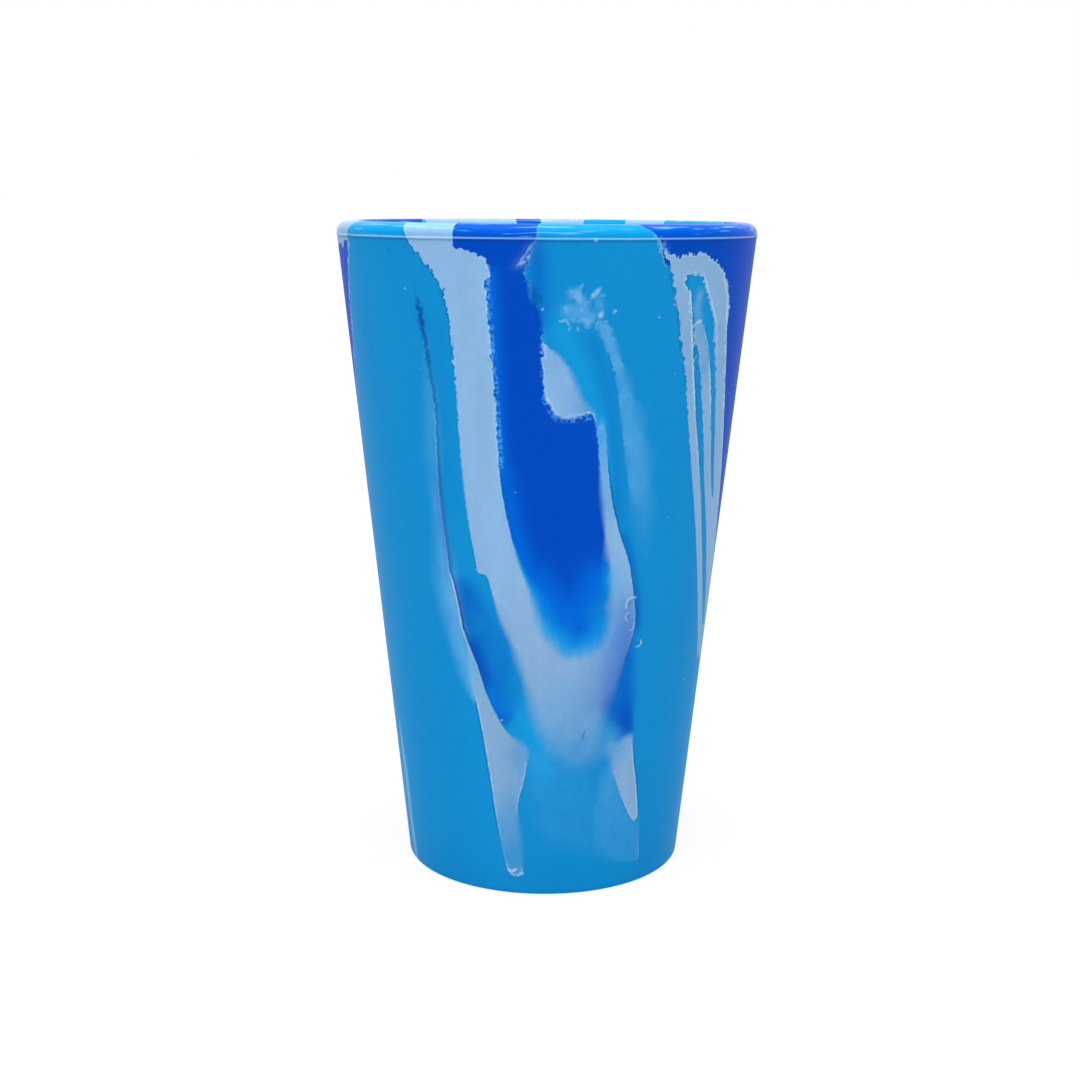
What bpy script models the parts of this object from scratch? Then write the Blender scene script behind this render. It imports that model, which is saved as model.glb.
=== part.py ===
# Marbled silicone pint cup: one soft moulding pressed from three coloured silicones
# Lengths in metres, +Z up, origin at the middle of the foot, front towards -Y

import math

import bmesh
import bpy
from mathutils import Vector

# Cup
CUP_HEIGHT = 0.140
RIM_RADIUS = 0.0445  # outside, at the parting line
FOOT_RADIUS = 0.0302  # outside, where the straight wall would reach the table
WALL = 0.0042
FLOOR = 0.005
FLOOR_FILLET = 0.004

# Foot
FOOT_EDGE = 0.001
FOOT_RING = 0.0042
FOOT_RECESS = 0.0015
RECESS_SLOPE = 0.0008

# Lip, above the thin line that the two mould halves leave
LIP_HEIGHT = 0.0028
LIP_STRAIGHT = 0.0007
LIP_OUTER_ROUND = 0.0026
LIP_MOST_SHARE = 0.7  # the outer rounding takes at most this share of the wall
LIP_INNER_HEIGHT = 0.0015
PARTING_PROUD = 0.0002
PARTING_HEIGHT = 0.0006

# Coloured streaks, set into the outside of the wall
STREAK_DEPTH = 0.0012
STREAK_GAP = 0.0003
CUTTER_PROUD = 0.001
POCKET_STEP = 0.00005  # overlapping pockets differ by this in depth, so no two floors share a plane
POCKET_KINDS = 4

# Facets
SIDES = 72
FACET = 360 / SIDES  # one facet faces the front squarely
LIP_STEPS = 4
FILLET_STEPS = 3
OUTLINE_STEPS = 2
SHARP_ANGLE = 35  # faces that meet at more than this are shaded as an edge
WELD = 0.000001  # points of the turned profile nearer than this are one
SNAP = 0.02  # an outline point this near a facet edge counts as on it, in degrees or percent
TIP_COSINE = 0.85  # an outline that turns more sharply than twice this cosine's angle has a tip

# Silicone colours, linear
CYAN = (0.009, 0.262, 0.632)
COBALT = (0.0015, 0.075, 0.515)
PALE = (0.254, 0.456, 0.760)
ROUGHNESS = 0.38

# Streaks in the order that they lie, each cut by those named in "under"
# An outline's points are degrees round from the front and percent of the height to the parting line
STREAKS = [
    {
        "name": "front_pale_sweep",
        "colour": "pale",
        "under": ["front_cobalt_tongue", "front_cobalt_fold_right"],
        "outline": [
            (-41, 107), (-38.5, 100), (-34, 97), (-30, 94.5), (-27.5, 92.5), (-26, 89), (-25.4, 80),
            (-25.2, 66), (-24, 58.5), (-22, 52.5), (-19, 50.5), (-17, 48), (-13, 42.5), (-9.5, 37.5),
            (-6.5, 33), (-2, 28.5), (3, 25.2), (10, 24), (17, 25.5), (22, 30), (26.5, 36.5),
            (29.5, 43), (28.5, 48), (25.5, 55), (21.5, 60), (19, 64.5), (17.5, 70), (16, 74.2),
            (10, 70), (0, 64), (-8, 72), (-10, 90), (-14, 99), (-19, 102), (-22, 107),
        ],
    },
    {
        "name": "front_pale_patch",
        "colour": "pale",
        "under": ["front_cobalt_tongue"],
        "outline": [
            (-2.2, 85.2), (1.5, 84.9), (4.5, 83.8), (7.5, 80.8), (10.5, 78), (12.8, 76),
            (10, 73.5), (3, 73), (-3, 78),
        ],
    },
    {
        "name": "front_cobalt_tongue",
        "colour": "cobalt",
        "under": [],
        "outline": [
            (-24, 107), (-23.5, 98.9), (-19, 98), (-15.5, 96), (-14.8, 90), (-14.5, 82),
            (-13.8, 72), (-13.2, 65), (-11.2, 59), (-8, 53), (-3.5, 49), (0.5, 45.5), (6, 43.5),
            (11, 43.5), (15.5, 46.5), (17.5, 52), (16.5, 59), (15.2, 66), (14.5, 72.5),
            (12, 75.4), (5, 75.2), (0.5, 77), (-1.6, 81), (-2, 88), (-3.2, 92.5), (-4.2, 98),
            (-3.8, 107),
        ],
    },
    {
        "name": "front_cobalt_fold_left",
        "colour": "cobalt",
        "under": ["front_pale_drip_left"],
        "outline": [
            (-29, 50.5), (-27.3, 45), (-25, 40), (-22.3, 36.5), (-20, 32.5), (-17, 29.2),
            (-13.5, 28), (-11.5, 31.5), (-11.5, 35.5), (-14.5, 41), (-19, 46), (-24, 49.5),
        ],
    },
    {
        "name": "front_pale_drip_left",
        "colour": "pale",
        "under": [],
        "outline": [
            (-27.8, 42.2), (-25.4, 38.6), (-23.2, 35), (-21, 32), (-18.7, 29.3), (-16, 27.2),
            (-13, 25.7), (-10.5, 24.7), (-7.8, 23.3), (-6.2, 21), (-7, 18), (-9.3, 15), (-9.7, 11),
            (-8.7, 6.5), (-8.8, 3.8), (-11.5, 3.2), (-14.2, 3.8), (-15.5, 7), (-17.5, 11),
            (-19.5, 16), (-21, 22), (-23, 28), (-25, 33), (-27, 37.5),
        ],
    },
    {
        "name": "front_pale_drip_right",
        "colour": "pale",
        "under": ["front_cobalt_fold_right"],
        "outline": [
            (25, 25.2), (28, 26.5), (31.5, 26.6), (33.5, 23.5), (35.5, 20), (37.6, 16),
            (38.6, 12), (37.5, 10.5), (34.5, 12), (31, 14.8), (28, 18.5), (25.5, 22),
        ],
    },
    {
        "name": "front_cobalt_fold_right",
        "colour": "cobalt",
        "under": [],
        "outline": [
            (29.3, 43.5), (30.8, 38), (31.8, 33), (32.6, 28.5), (32.6, 26), (29, 25.8),
            (25, 27.5), (21.5, 30.5), (23.5, 34.5), (26.5, 38.5),
        ],
    },
    {
        "name": "side_cobalt_band",
        "colour": "cobalt",
        "under": ["side_pale_hook"],
        "outline": [
            (28, 107), (29.6, 100.3), (33, 96), (45, 95), (53, 91), (57, 84), (61, 75), (65, 67),
            (70, 59), (74, 54), (79, 53), (84, 58), (88, 67), (93, 80), (99, 92), (104, 100),
            (107, 107),
        ],
    },
    {
        "name": "side_pale_hook",
        "colour": "pale",
        "under": ["side_cyan_core"],
        "outline": [
            (29, 99), (32, 97.9), (36, 97.6), (40, 97.5), (45, 97.7), (50, 96.6), (54.5, 94.6),
            (57.5, 92), (59.3, 88.5), (61, 83.7), (64, 77.9), (66.5, 72), (69.7, 66.2),
            (73, 59.7), (76.5, 53.5), (80.5, 47), (84.5, 41), (88, 34), (86.5, 30), (82, 31.5),
            (77, 34), (71.5, 34.5), (67, 39.3), (62, 45.9), (57, 53.1), (52, 60.8), (48, 67.3),
            (44, 74.2), (40, 81.9), (36.5, 88), (33.5, 93), (31, 96.5),
        ],
    },
    {
        "name": "side_cyan_core",
        "colour": "cyan",
        "under": [],
        "outline": [
            (38.2, 94.2), (40.5, 94.9), (43.5, 94.5), (46.5, 92.5), (50, 89.5), (52.5, 86.2),
            (54.5, 82), (56.5, 78), (59, 72.5), (62, 66.3), (65, 61), (63, 61.8), (60, 66),
            (57.5, 70.5), (55, 75), (52.5, 79.5), (50, 84), (47.5, 87.6), (44.8, 88.4),
            (44.3, 84.4), (48, 79), (51, 73.3), (54, 67.8), (57, 63.3), (60, 59.2), (63.5, 54.7),
            (67, 50), (70.5, 46), (73.5, 42.3), (75, 39.5), (72, 40), (68.5, 43.5), (65, 47.5),
            (62, 51.7), (59, 56), (56, 61), (53, 65.5), (50, 70.5), (47.7, 75), (45.5, 80),
            (43.2, 84.4), (41.6, 88.4), (40.5, 92),
        ],
    },
    {
        "name": "edge_cobalt_wedge",
        "colour": "cobalt",
        "under": ["edge_pale_tooth"],
        "outline": [
            (-66.8, 98.6), (-70, 95.3), (-74, 91.3), (-78, 87), (-82, 81.5), (-88, 73),
            (-95, 64), (-103, 58), (-110, 56), (-117, 61), (-123, 72), (-128, 84), (-132, 94),
            (-134, 100), (-135, 107), (-103, 107), (-97, 103), (-90, 100.5), (-80, 99.5),
            (-71, 99.8),
        ],
    },
    {
        "name": "edge_pale_tooth",
        "colour": "pale",
        "under": [],
        "outline": [
            (-64.5, 107), (-65.6, 99.7), (-69.5, 98.4), (-74, 97.6), (-82, 97.6), (-90, 98.4),
            (-96, 100.5), (-99, 107),
        ],
    },
    {
        "name": "back_pale_sweep",
        "colour": "pale",
        "under": ["back_cobalt_tongue"],
        "outline": [
            (-138, 107), (-138.5, 99), (-140, 90), (-143, 78), (-148, 66), (-152, 52), (-149, 40),
            (-143, 30), (-147, 23), (-156, 25), (-164, 35), (-171, 47), (-175, 60), (-174, 78),
            (-172.5, 94), (-172, 107),
        ],
    },
    {
        "name": "back_pale_ribbon",
        "colour": "pale",
        "under": ["back_cobalt_tongue"],
        "outline": [
            (-176, 107), (-177, 95), (-180, 80), (-184, 66), (-187, 52), (-188, 40), (-191, 29),
            (-198, 21), (-205, 23), (-208, 33), (-206, 46), (-203, 58), (-199, 72), (-195, 84),
            (-192, 95), (-191, 107),
        ],
    },
    {
        "name": "back_cobalt_tongue",
        "colour": "cobalt",
        "under": [],
        "outline": [
            (-170, 107), (-170.5, 97), (-171.5, 84), (-173, 70), (-172, 57), (-170, 46),
            (-173, 38), (-180, 35), (-187, 39), (-190, 50), (-187.5, 64), (-183.5, 78),
            (-180, 90), (-178, 99), (-177, 107),
        ],
    },
    {
        "name": "back_pale_drip",
        "colour": "pale",
        "under": [],
        "outline": [
            (153, 107), (152, 97), (150, 84), (147, 72), (145, 60), (141, 54), (137, 60),
            (137, 72), (139, 84), (140, 95), (139, 107),
        ],
    },
    {
        "name": "back_cobalt_fold",
        "colour": "cobalt",
        "under": [],
        "outline": [
            (121, 50), (125, 57), (130, 52), (134, 40), (137, 28), (135, 18), (130, 14),
            (125, 20), (121, 32), (119, 42),
        ],
    },
    {
        "name": "back_pale_flare",
        "colour": "pale",
        "under": [],
        "outline": [
            (-108, 34), (-104, 26), (-108, 16), (-115, 9), (-124, 8), (-129, 14), (-126, 22),
            (-118, 30),
        ],
    },
]

PARTING_LINE = CUP_HEIGHT - LIP_HEIGHT
TAPER = math.atan((RIM_RADIUS - FOOT_RADIUS) / PARTING_LINE)
WALL_TOP = PARTING_LINE + LIP_STRAIGHT
LIP_RISE = CUP_HEIGHT - WALL_TOP
LIP_ACROSS = min(LIP_OUTER_ROUND, LIP_MOST_SHARE * WALL)
LIP_RUN = math.pi / 2 * math.sqrt((LIP_RISE ** 2 + LIP_ACROSS ** 2) / 2)
CREST_RADIUS = FOOT_RADIUS + WALL_TOP * math.tan(TAPER) - LIP_ACROSS
CREST_LEVEL = 100 * (WALL_TOP + LIP_RUN) / PARTING_LINE


def clear_scene():
    for obj in list(bpy.data.objects):
        bpy.data.objects.remove(obj, do_unlink=True)


def silicone(name, colour):
    material = bpy.data.materials.new(name)
    material.use_nodes = True
    shader = material.node_tree.nodes["Principled BSDF"]
    shader.inputs["Base Color"].default_value = (*colour, 1)
    shader.inputs["Roughness"].default_value = ROUGHNESS
    shader.inputs["Metallic"].default_value = 0
    material.diffuse_color = (*colour, 1)
    return material


def wall_radius(height):
    return FOOT_RADIUS + height * math.tan(TAPER)


def inner_radius(height):
    return wall_radius(height) - WALL / math.cos(TAPER)


# Points round a corner of the profile, from the leg towards a to the leg towards b
def fillet(corner, a, b, radius):
    to_a = (a - corner).normalized()
    to_b = (b - corner).normalized()
    half = to_a.angle(to_b) / 2
    centre = corner + (to_a + to_b).normalized() * radius / math.sin(half)
    start = corner + to_a * radius / math.tan(half) - centre
    end = corner + to_b * radius / math.tan(half) - centre
    turn = start.angle_signed(end)
    points = []
    for step in range(FILLET_STEPS + 1):
        angle = turn * step / FILLET_STEPS
        across = Vector((start.y, -start.x))
        points.append(centre + start * math.cos(angle) + across * math.sin(angle))
    return points


def foot_points():
    underside = Vector((0, 0))
    corner = Vector((FOOT_RADIUS, 0))
    up_wall = Vector((RIM_RADIUS, PARTING_LINE))
    return fillet(corner, underside, up_wall, FOOT_EDGE)


# A plain point on the outside of the wall or lip, without the parting line, and the way into it
def outside_point(level):
    height = level / 100 * PARTING_LINE
    if height <= WALL_TOP:
        return Vector((wall_radius(height), height)), Vector((-math.cos(TAPER), math.sin(TAPER)))
    angle = (height - WALL_TOP) / LIP_RUN * math.pi / 2
    across = math.cos(angle)
    up = math.sin(angle)
    point = Vector((CREST_RADIUS + LIP_ACROSS * across, WALL_TOP + LIP_RISE * up))
    return point, -Vector((across / LIP_ACROSS, up / LIP_RISE)).normalized()


def level_of(height):
    return 100 * height / PARTING_LINE


# Levels round the lip, from the straight wall's top to the crest
def lip_levels(share):
    return [level_of(WALL_TOP + LIP_RUN * (step + share) / LIP_STEPS) for step in range(LIP_STEPS)]


# The levels of the surface's own edges, and how far each stands proud
def surface_rings():
    return [
        (level_of(foot_points()[-1].y), 0),
        (level_of(PARTING_LINE - PARTING_HEIGHT / 2), 0),
        (100, PARTING_PROUD),
        (level_of(PARTING_LINE + PARTING_HEIGHT / 2), 0),
        (level_of(WALL_TOP), 0),
        *((level, 0) for level in lip_levels(1)),
    ]


def round_axis(angle, radius, height):
    turn = math.radians(angle)
    return Vector((radius * math.sin(turn), -radius * math.cos(turn), height))


# The place on a faceted wall at a depth, where the first facet starts at an angle
def on_wall(rings, facet_start, angle, level, depth):
    index = 1
    while index < len(rings) - 1 and level > rings[index][0]:
        index += 1
    ends = []
    for ring_level, proud in rings[index - 1:index + 1]:
        point, inward = outside_point(ring_level)
        ends.append(point + inward * (depth if depth else -proud))
    low, high = rings[index - 1][0], rings[index][0]
    radius, height = ends[0].lerp(ends[1], (level - low) / (high - low))
    middle = facet_start + (math.floor((angle - facet_start) / FACET) + 0.5) * FACET
    radius *= math.cos(math.radians(FACET / 2)) / math.cos(math.radians(angle - middle))
    return round_axis(angle, radius, height)


def new_object(name, bm, material):
    bmesh.ops.recalc_face_normals(bm, faces=bm.faces)
    mesh = bpy.data.meshes.new(name)
    bm.to_mesh(mesh)
    bm.free()
    mesh.materials.append(material)
    mesh.shade_smooth()
    mesh.set_sharp_from_angle(angle=math.radians(SHARP_ANGLE))
    return bpy.data.objects.new(name, mesh)


# A closed curve through the outline's points
def smooth_outline(points):
    curve = []
    count = len(points)
    for index in range(count):
        before, start, end, after = (Vector(points[(index + k) % count]) for k in (-1, 0, 1, 2))
        for step in range(OUTLINE_STEPS):
            t = step / OUTLINE_STEPS
            curve.append(
                0.5 * (
                    2 * start
                    + (end - before) * t
                    + (2 * before - 5 * start + 4 * end - after) * t ** 2
                    + (3 * start - before - 3 * end + after) * t ** 3
                )
            )
    return curve


def to_wall(angle, level):
    height = level / 100 * PARTING_LINE
    return Vector((math.radians(angle) * wall_radius(height), height))


def from_wall(place):
    return math.degrees(place.x / wall_radius(place.y)), 100 * place.y / PARTING_LINE


# The outline moved outwards by a distance measured on the wall, rounded at its sharp tips
def spread_outline(curve, distance):
    flat = [to_wall(angle, level) for angle, level in curve]
    turning = math.copysign(1, sum(a.cross(b) for a, b in zip(flat, flat[1:] + flat[:1])))
    spread = []
    for index, place in enumerate(flat):
        along_in = (place - flat[index - 1]).normalized()
        along_out = (flat[(index + 1) % len(flat)] - place).normalized()
        first = Vector((along_in.y, -along_in.x)) * turning
        last = Vector((along_out.y, -along_out.x)) * turning
        middle = (first + last).normalized()
        if along_in.cross(along_out) * turning > 0 and middle.dot(last) < TIP_COSINE:
            ways = [first, middle, last]
        else:
            ways = [middle / max(middle.dot(last), TIP_COSINE)]
        spread += [from_wall(place + way * distance) for way in ways]
    return spread


def cut_flat(bm, place, normal, clear=False):
    geometry = bm.verts[:] + bm.edges[:] + bm.faces[:]
    bmesh.ops.bisect_plane(
        bm, geom=geometry, dist=SNAP, plane_co=place, plane_no=normal, clear_outer=clear
    )


# A slab of wall inside an outline: drawn flat, cut at the facet edges, then wrapped
def wall_slab(name, curve, rings, facet_start, depths, material):
    bm = bmesh.new()
    bm.faces.new([bm.verts.new((angle, level, 0)) for angle, level in curve])
    cut_flat(bm, (0, rings[-1][0], 0), (0, 1, 0), clear=True)
    angles = [angle for angle, _ in curve]
    edge = facet_start + math.ceil((min(angles) - facet_start) / FACET) * FACET
    while edge < max(angles):
        cut_flat(bm, (edge, 0, 0), (1, 0, 0))
        edge += FACET
    for level, _ in rings[1:-1]:
        cut_flat(bm, (0, level, 0), (0, 1, 0))
    made = bmesh.ops.extrude_face_region(bm, geom=bm.faces[:], use_keep_orig=True)
    for vert in made["geom"]:
        if isinstance(vert, bmesh.types.BMVert):
            vert.co.z = 1
    for vert in bm.verts:
        angle, level, inside = vert.co
        vert.co = on_wall(rings, facet_start, angle, level, depths[1] if inside else depths[0])
    return new_object(name, bm, material)


def cup_profile():
    foot = foot_points()
    ring_inside = foot[0].x - FOOT_RING
    profile = [
        Vector((0, FOOT_RECESS)),
        Vector((ring_inside - RECESS_SLOPE, FOOT_RECESS)),
        Vector((ring_inside, 0)),
        *foot[:-1],
    ]
    for level, proud in surface_rings():
        point, inward = outside_point(level)
        profile.append(point - inward * proud)
    inner_start = CUP_HEIGHT - LIP_INNER_HEIGHT
    across = CREST_RADIUS - inner_radius(inner_start)
    for step in range(1, LIP_STEPS + 1):
        angle = math.pi / 2 * step / LIP_STEPS
        radius = CREST_RADIUS - across * math.sin(angle)
        profile.append(Vector((radius, inner_start + LIP_INNER_HEIGHT * math.cos(angle))))
    corner = Vector((inner_radius(FLOOR), FLOOR))
    profile += fillet(corner, profile[-1], Vector((0, FLOOR)), FLOOR_FILLET)
    profile.append(Vector((0, FLOOR)))
    return profile


def turned_cup(material):
    bm = bmesh.new()
    verts = [bm.verts.new(round_axis(FACET / 2, *point)) for point in cup_profile()]
    edges = [bm.edges.new(pair) for pair in zip(verts, verts[1:])]
    bmesh.ops.spin(
        bm, geom=verts + edges, cent=(0, 0, 0), axis=(0, 0, 1), angle=math.tau, steps=SIDES
    )
    bmesh.ops.remove_doubles(bm, verts=bm.verts, dist=WELD)
    return new_object("cup_body", bm, material)


# Pockets for the streaks. Those that overlap differ in depth and in where their edges lie
def make_pocket_cutters(pockets, material):
    cutters = {}
    for index, streak in enumerate(STREAKS):
        turn = index % POCKET_KINDS
        more = turn * POCKET_STEP
        share = (turn + 1) / (POCKET_KINDS + 2)
        top = WALL_TOP - PARTING_HEIGHT * share
        levels = [surface_rings()[0][0], level_of(top), *lip_levels(share)]
        rings = [(level, 0) for level in (*levels, CREST_LEVEL + level_of(STREAK_GAP))]
        cutter = wall_slab(
            streak["name"] + "_pocket",
            spread_outline(smooth_outline(streak["outline"]), STREAK_GAP),
            rings,
            (share - 0.5) * FACET,
            (-CUTTER_PROUD - more, STREAK_DEPTH + STREAK_GAP + more),
            material,
        )
        cutter.hide_render = True
        cutter.display_type = "WIRE"
        pockets.objects.link(cutter)
        cutters[streak["name"]] = cutter
    return cutters


def cut_away(obj, name, cutter):
    cut = obj.modifiers.new(name, "BOOLEAN")
    cut.operation = "DIFFERENCE"
    cut.solver = "EXACT"
    if isinstance(cutter, bpy.types.Collection):
        cut.operand_type = "COLLECTION"
        cut.collection = cutter
    else:
        cut.object = cutter


def main():
    clear_scene()
    scene = bpy.context.scene
    silicones = {
        "cyan": silicone("cyan_silicone", CYAN),
        "cobalt": silicone("cobalt_silicone", COBALT),
        "pale": silicone("pale_silicone", PALE),
    }
    pockets = bpy.data.collections.new("pockets")
    pockets.hide_render = True
    scene.collection.children.link(pockets)

    cup = turned_cup(silicones["cyan"])
    scene.collection.objects.link(cup)
    cutters = make_pocket_cutters(pockets, silicones["cyan"])
    cut_away(cup, "pockets", pockets)

    for streak in STREAKS:
        inlay = wall_slab(
            streak["name"],
            smooth_outline(streak["outline"]),
            surface_rings(),
            FACET / 2,
            (0, STREAK_DEPTH),
            silicones[streak["colour"]],
        )
        scene.collection.objects.link(inlay)
        inlay.parent = cup
        for over in streak["under"]:
            cut_away(inlay, over, cutters[over])


main()
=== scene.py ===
import math

import bpy
import numpy as np
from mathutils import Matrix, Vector, noise


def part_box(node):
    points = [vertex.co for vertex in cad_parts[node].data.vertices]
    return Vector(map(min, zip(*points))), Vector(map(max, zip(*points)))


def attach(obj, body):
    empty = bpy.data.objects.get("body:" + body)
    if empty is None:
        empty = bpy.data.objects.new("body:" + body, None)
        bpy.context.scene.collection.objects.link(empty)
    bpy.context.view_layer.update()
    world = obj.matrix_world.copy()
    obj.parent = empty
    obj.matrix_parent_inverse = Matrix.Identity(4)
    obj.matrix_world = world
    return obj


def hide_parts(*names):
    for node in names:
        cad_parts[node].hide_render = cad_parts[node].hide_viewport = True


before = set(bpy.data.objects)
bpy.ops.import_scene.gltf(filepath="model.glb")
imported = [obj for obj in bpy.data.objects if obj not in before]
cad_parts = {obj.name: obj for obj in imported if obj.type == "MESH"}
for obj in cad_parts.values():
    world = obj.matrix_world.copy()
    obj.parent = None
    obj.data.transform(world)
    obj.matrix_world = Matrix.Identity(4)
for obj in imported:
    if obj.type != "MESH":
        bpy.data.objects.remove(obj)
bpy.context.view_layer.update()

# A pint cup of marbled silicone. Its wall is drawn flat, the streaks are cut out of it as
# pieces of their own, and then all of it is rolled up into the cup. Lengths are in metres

bodyLow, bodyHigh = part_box("cup_body")

cup = {
    "height": bodyHigh.z,
    "rim": 0.0445,              # outside radius at the parting line
    "foot": 0.0302,             # outside radius where the straight wall would reach the table
    "wall": 0.0042,
    "floor": 0.005,
    "floorFillet": 0.004,
    "footEdge": 0.001,
    "footRing": 0.0042,
    "footRecess": 0.0015,
    "recessSlope": 0.0008,
    "softEdge": 0.0003,         # the small rounding of the foot ring's inner edge
    "lipHeight": 0.0028,
    "lipStraight": 0.0007,
    "lipOuterRound": 0.0026,
    "lipInnerHeight": 0.0015,
    "partingProud": 0.0002,
    "partingHeight": 0.0006,
    "streakDepth": 0.0012,
    "columns": 320,             # facets round the cup
    "rowStep": 0.00095,         # between the rows of facets up the outside
    "innerStep": 0.003,
    "lipSteps": 9,
    "filletSteps": 7,
}

# How the wall lies when it is flat
flat = {
    "degree": 0.00066,          # width of one degree, true at half height
    "seam": 113,                # degrees round from the front, where no streak lies
    "curveSteps": 6,            # between two points of a streak's outline
    "bladeHeight": 0.002,
    "tiny": 0.00001,
    "reach": 0.012,             # how far from a streak its edge distance is worked out
    "weld": 0.000001,
    "front": 95,                # degrees each way that the fine marks are kept to
    "driftAcross": 9,           # how the streaks come out of line on the inside, in degrees
    "driftWaves": 60,
    "driftUp": 0.012,
}

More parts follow.
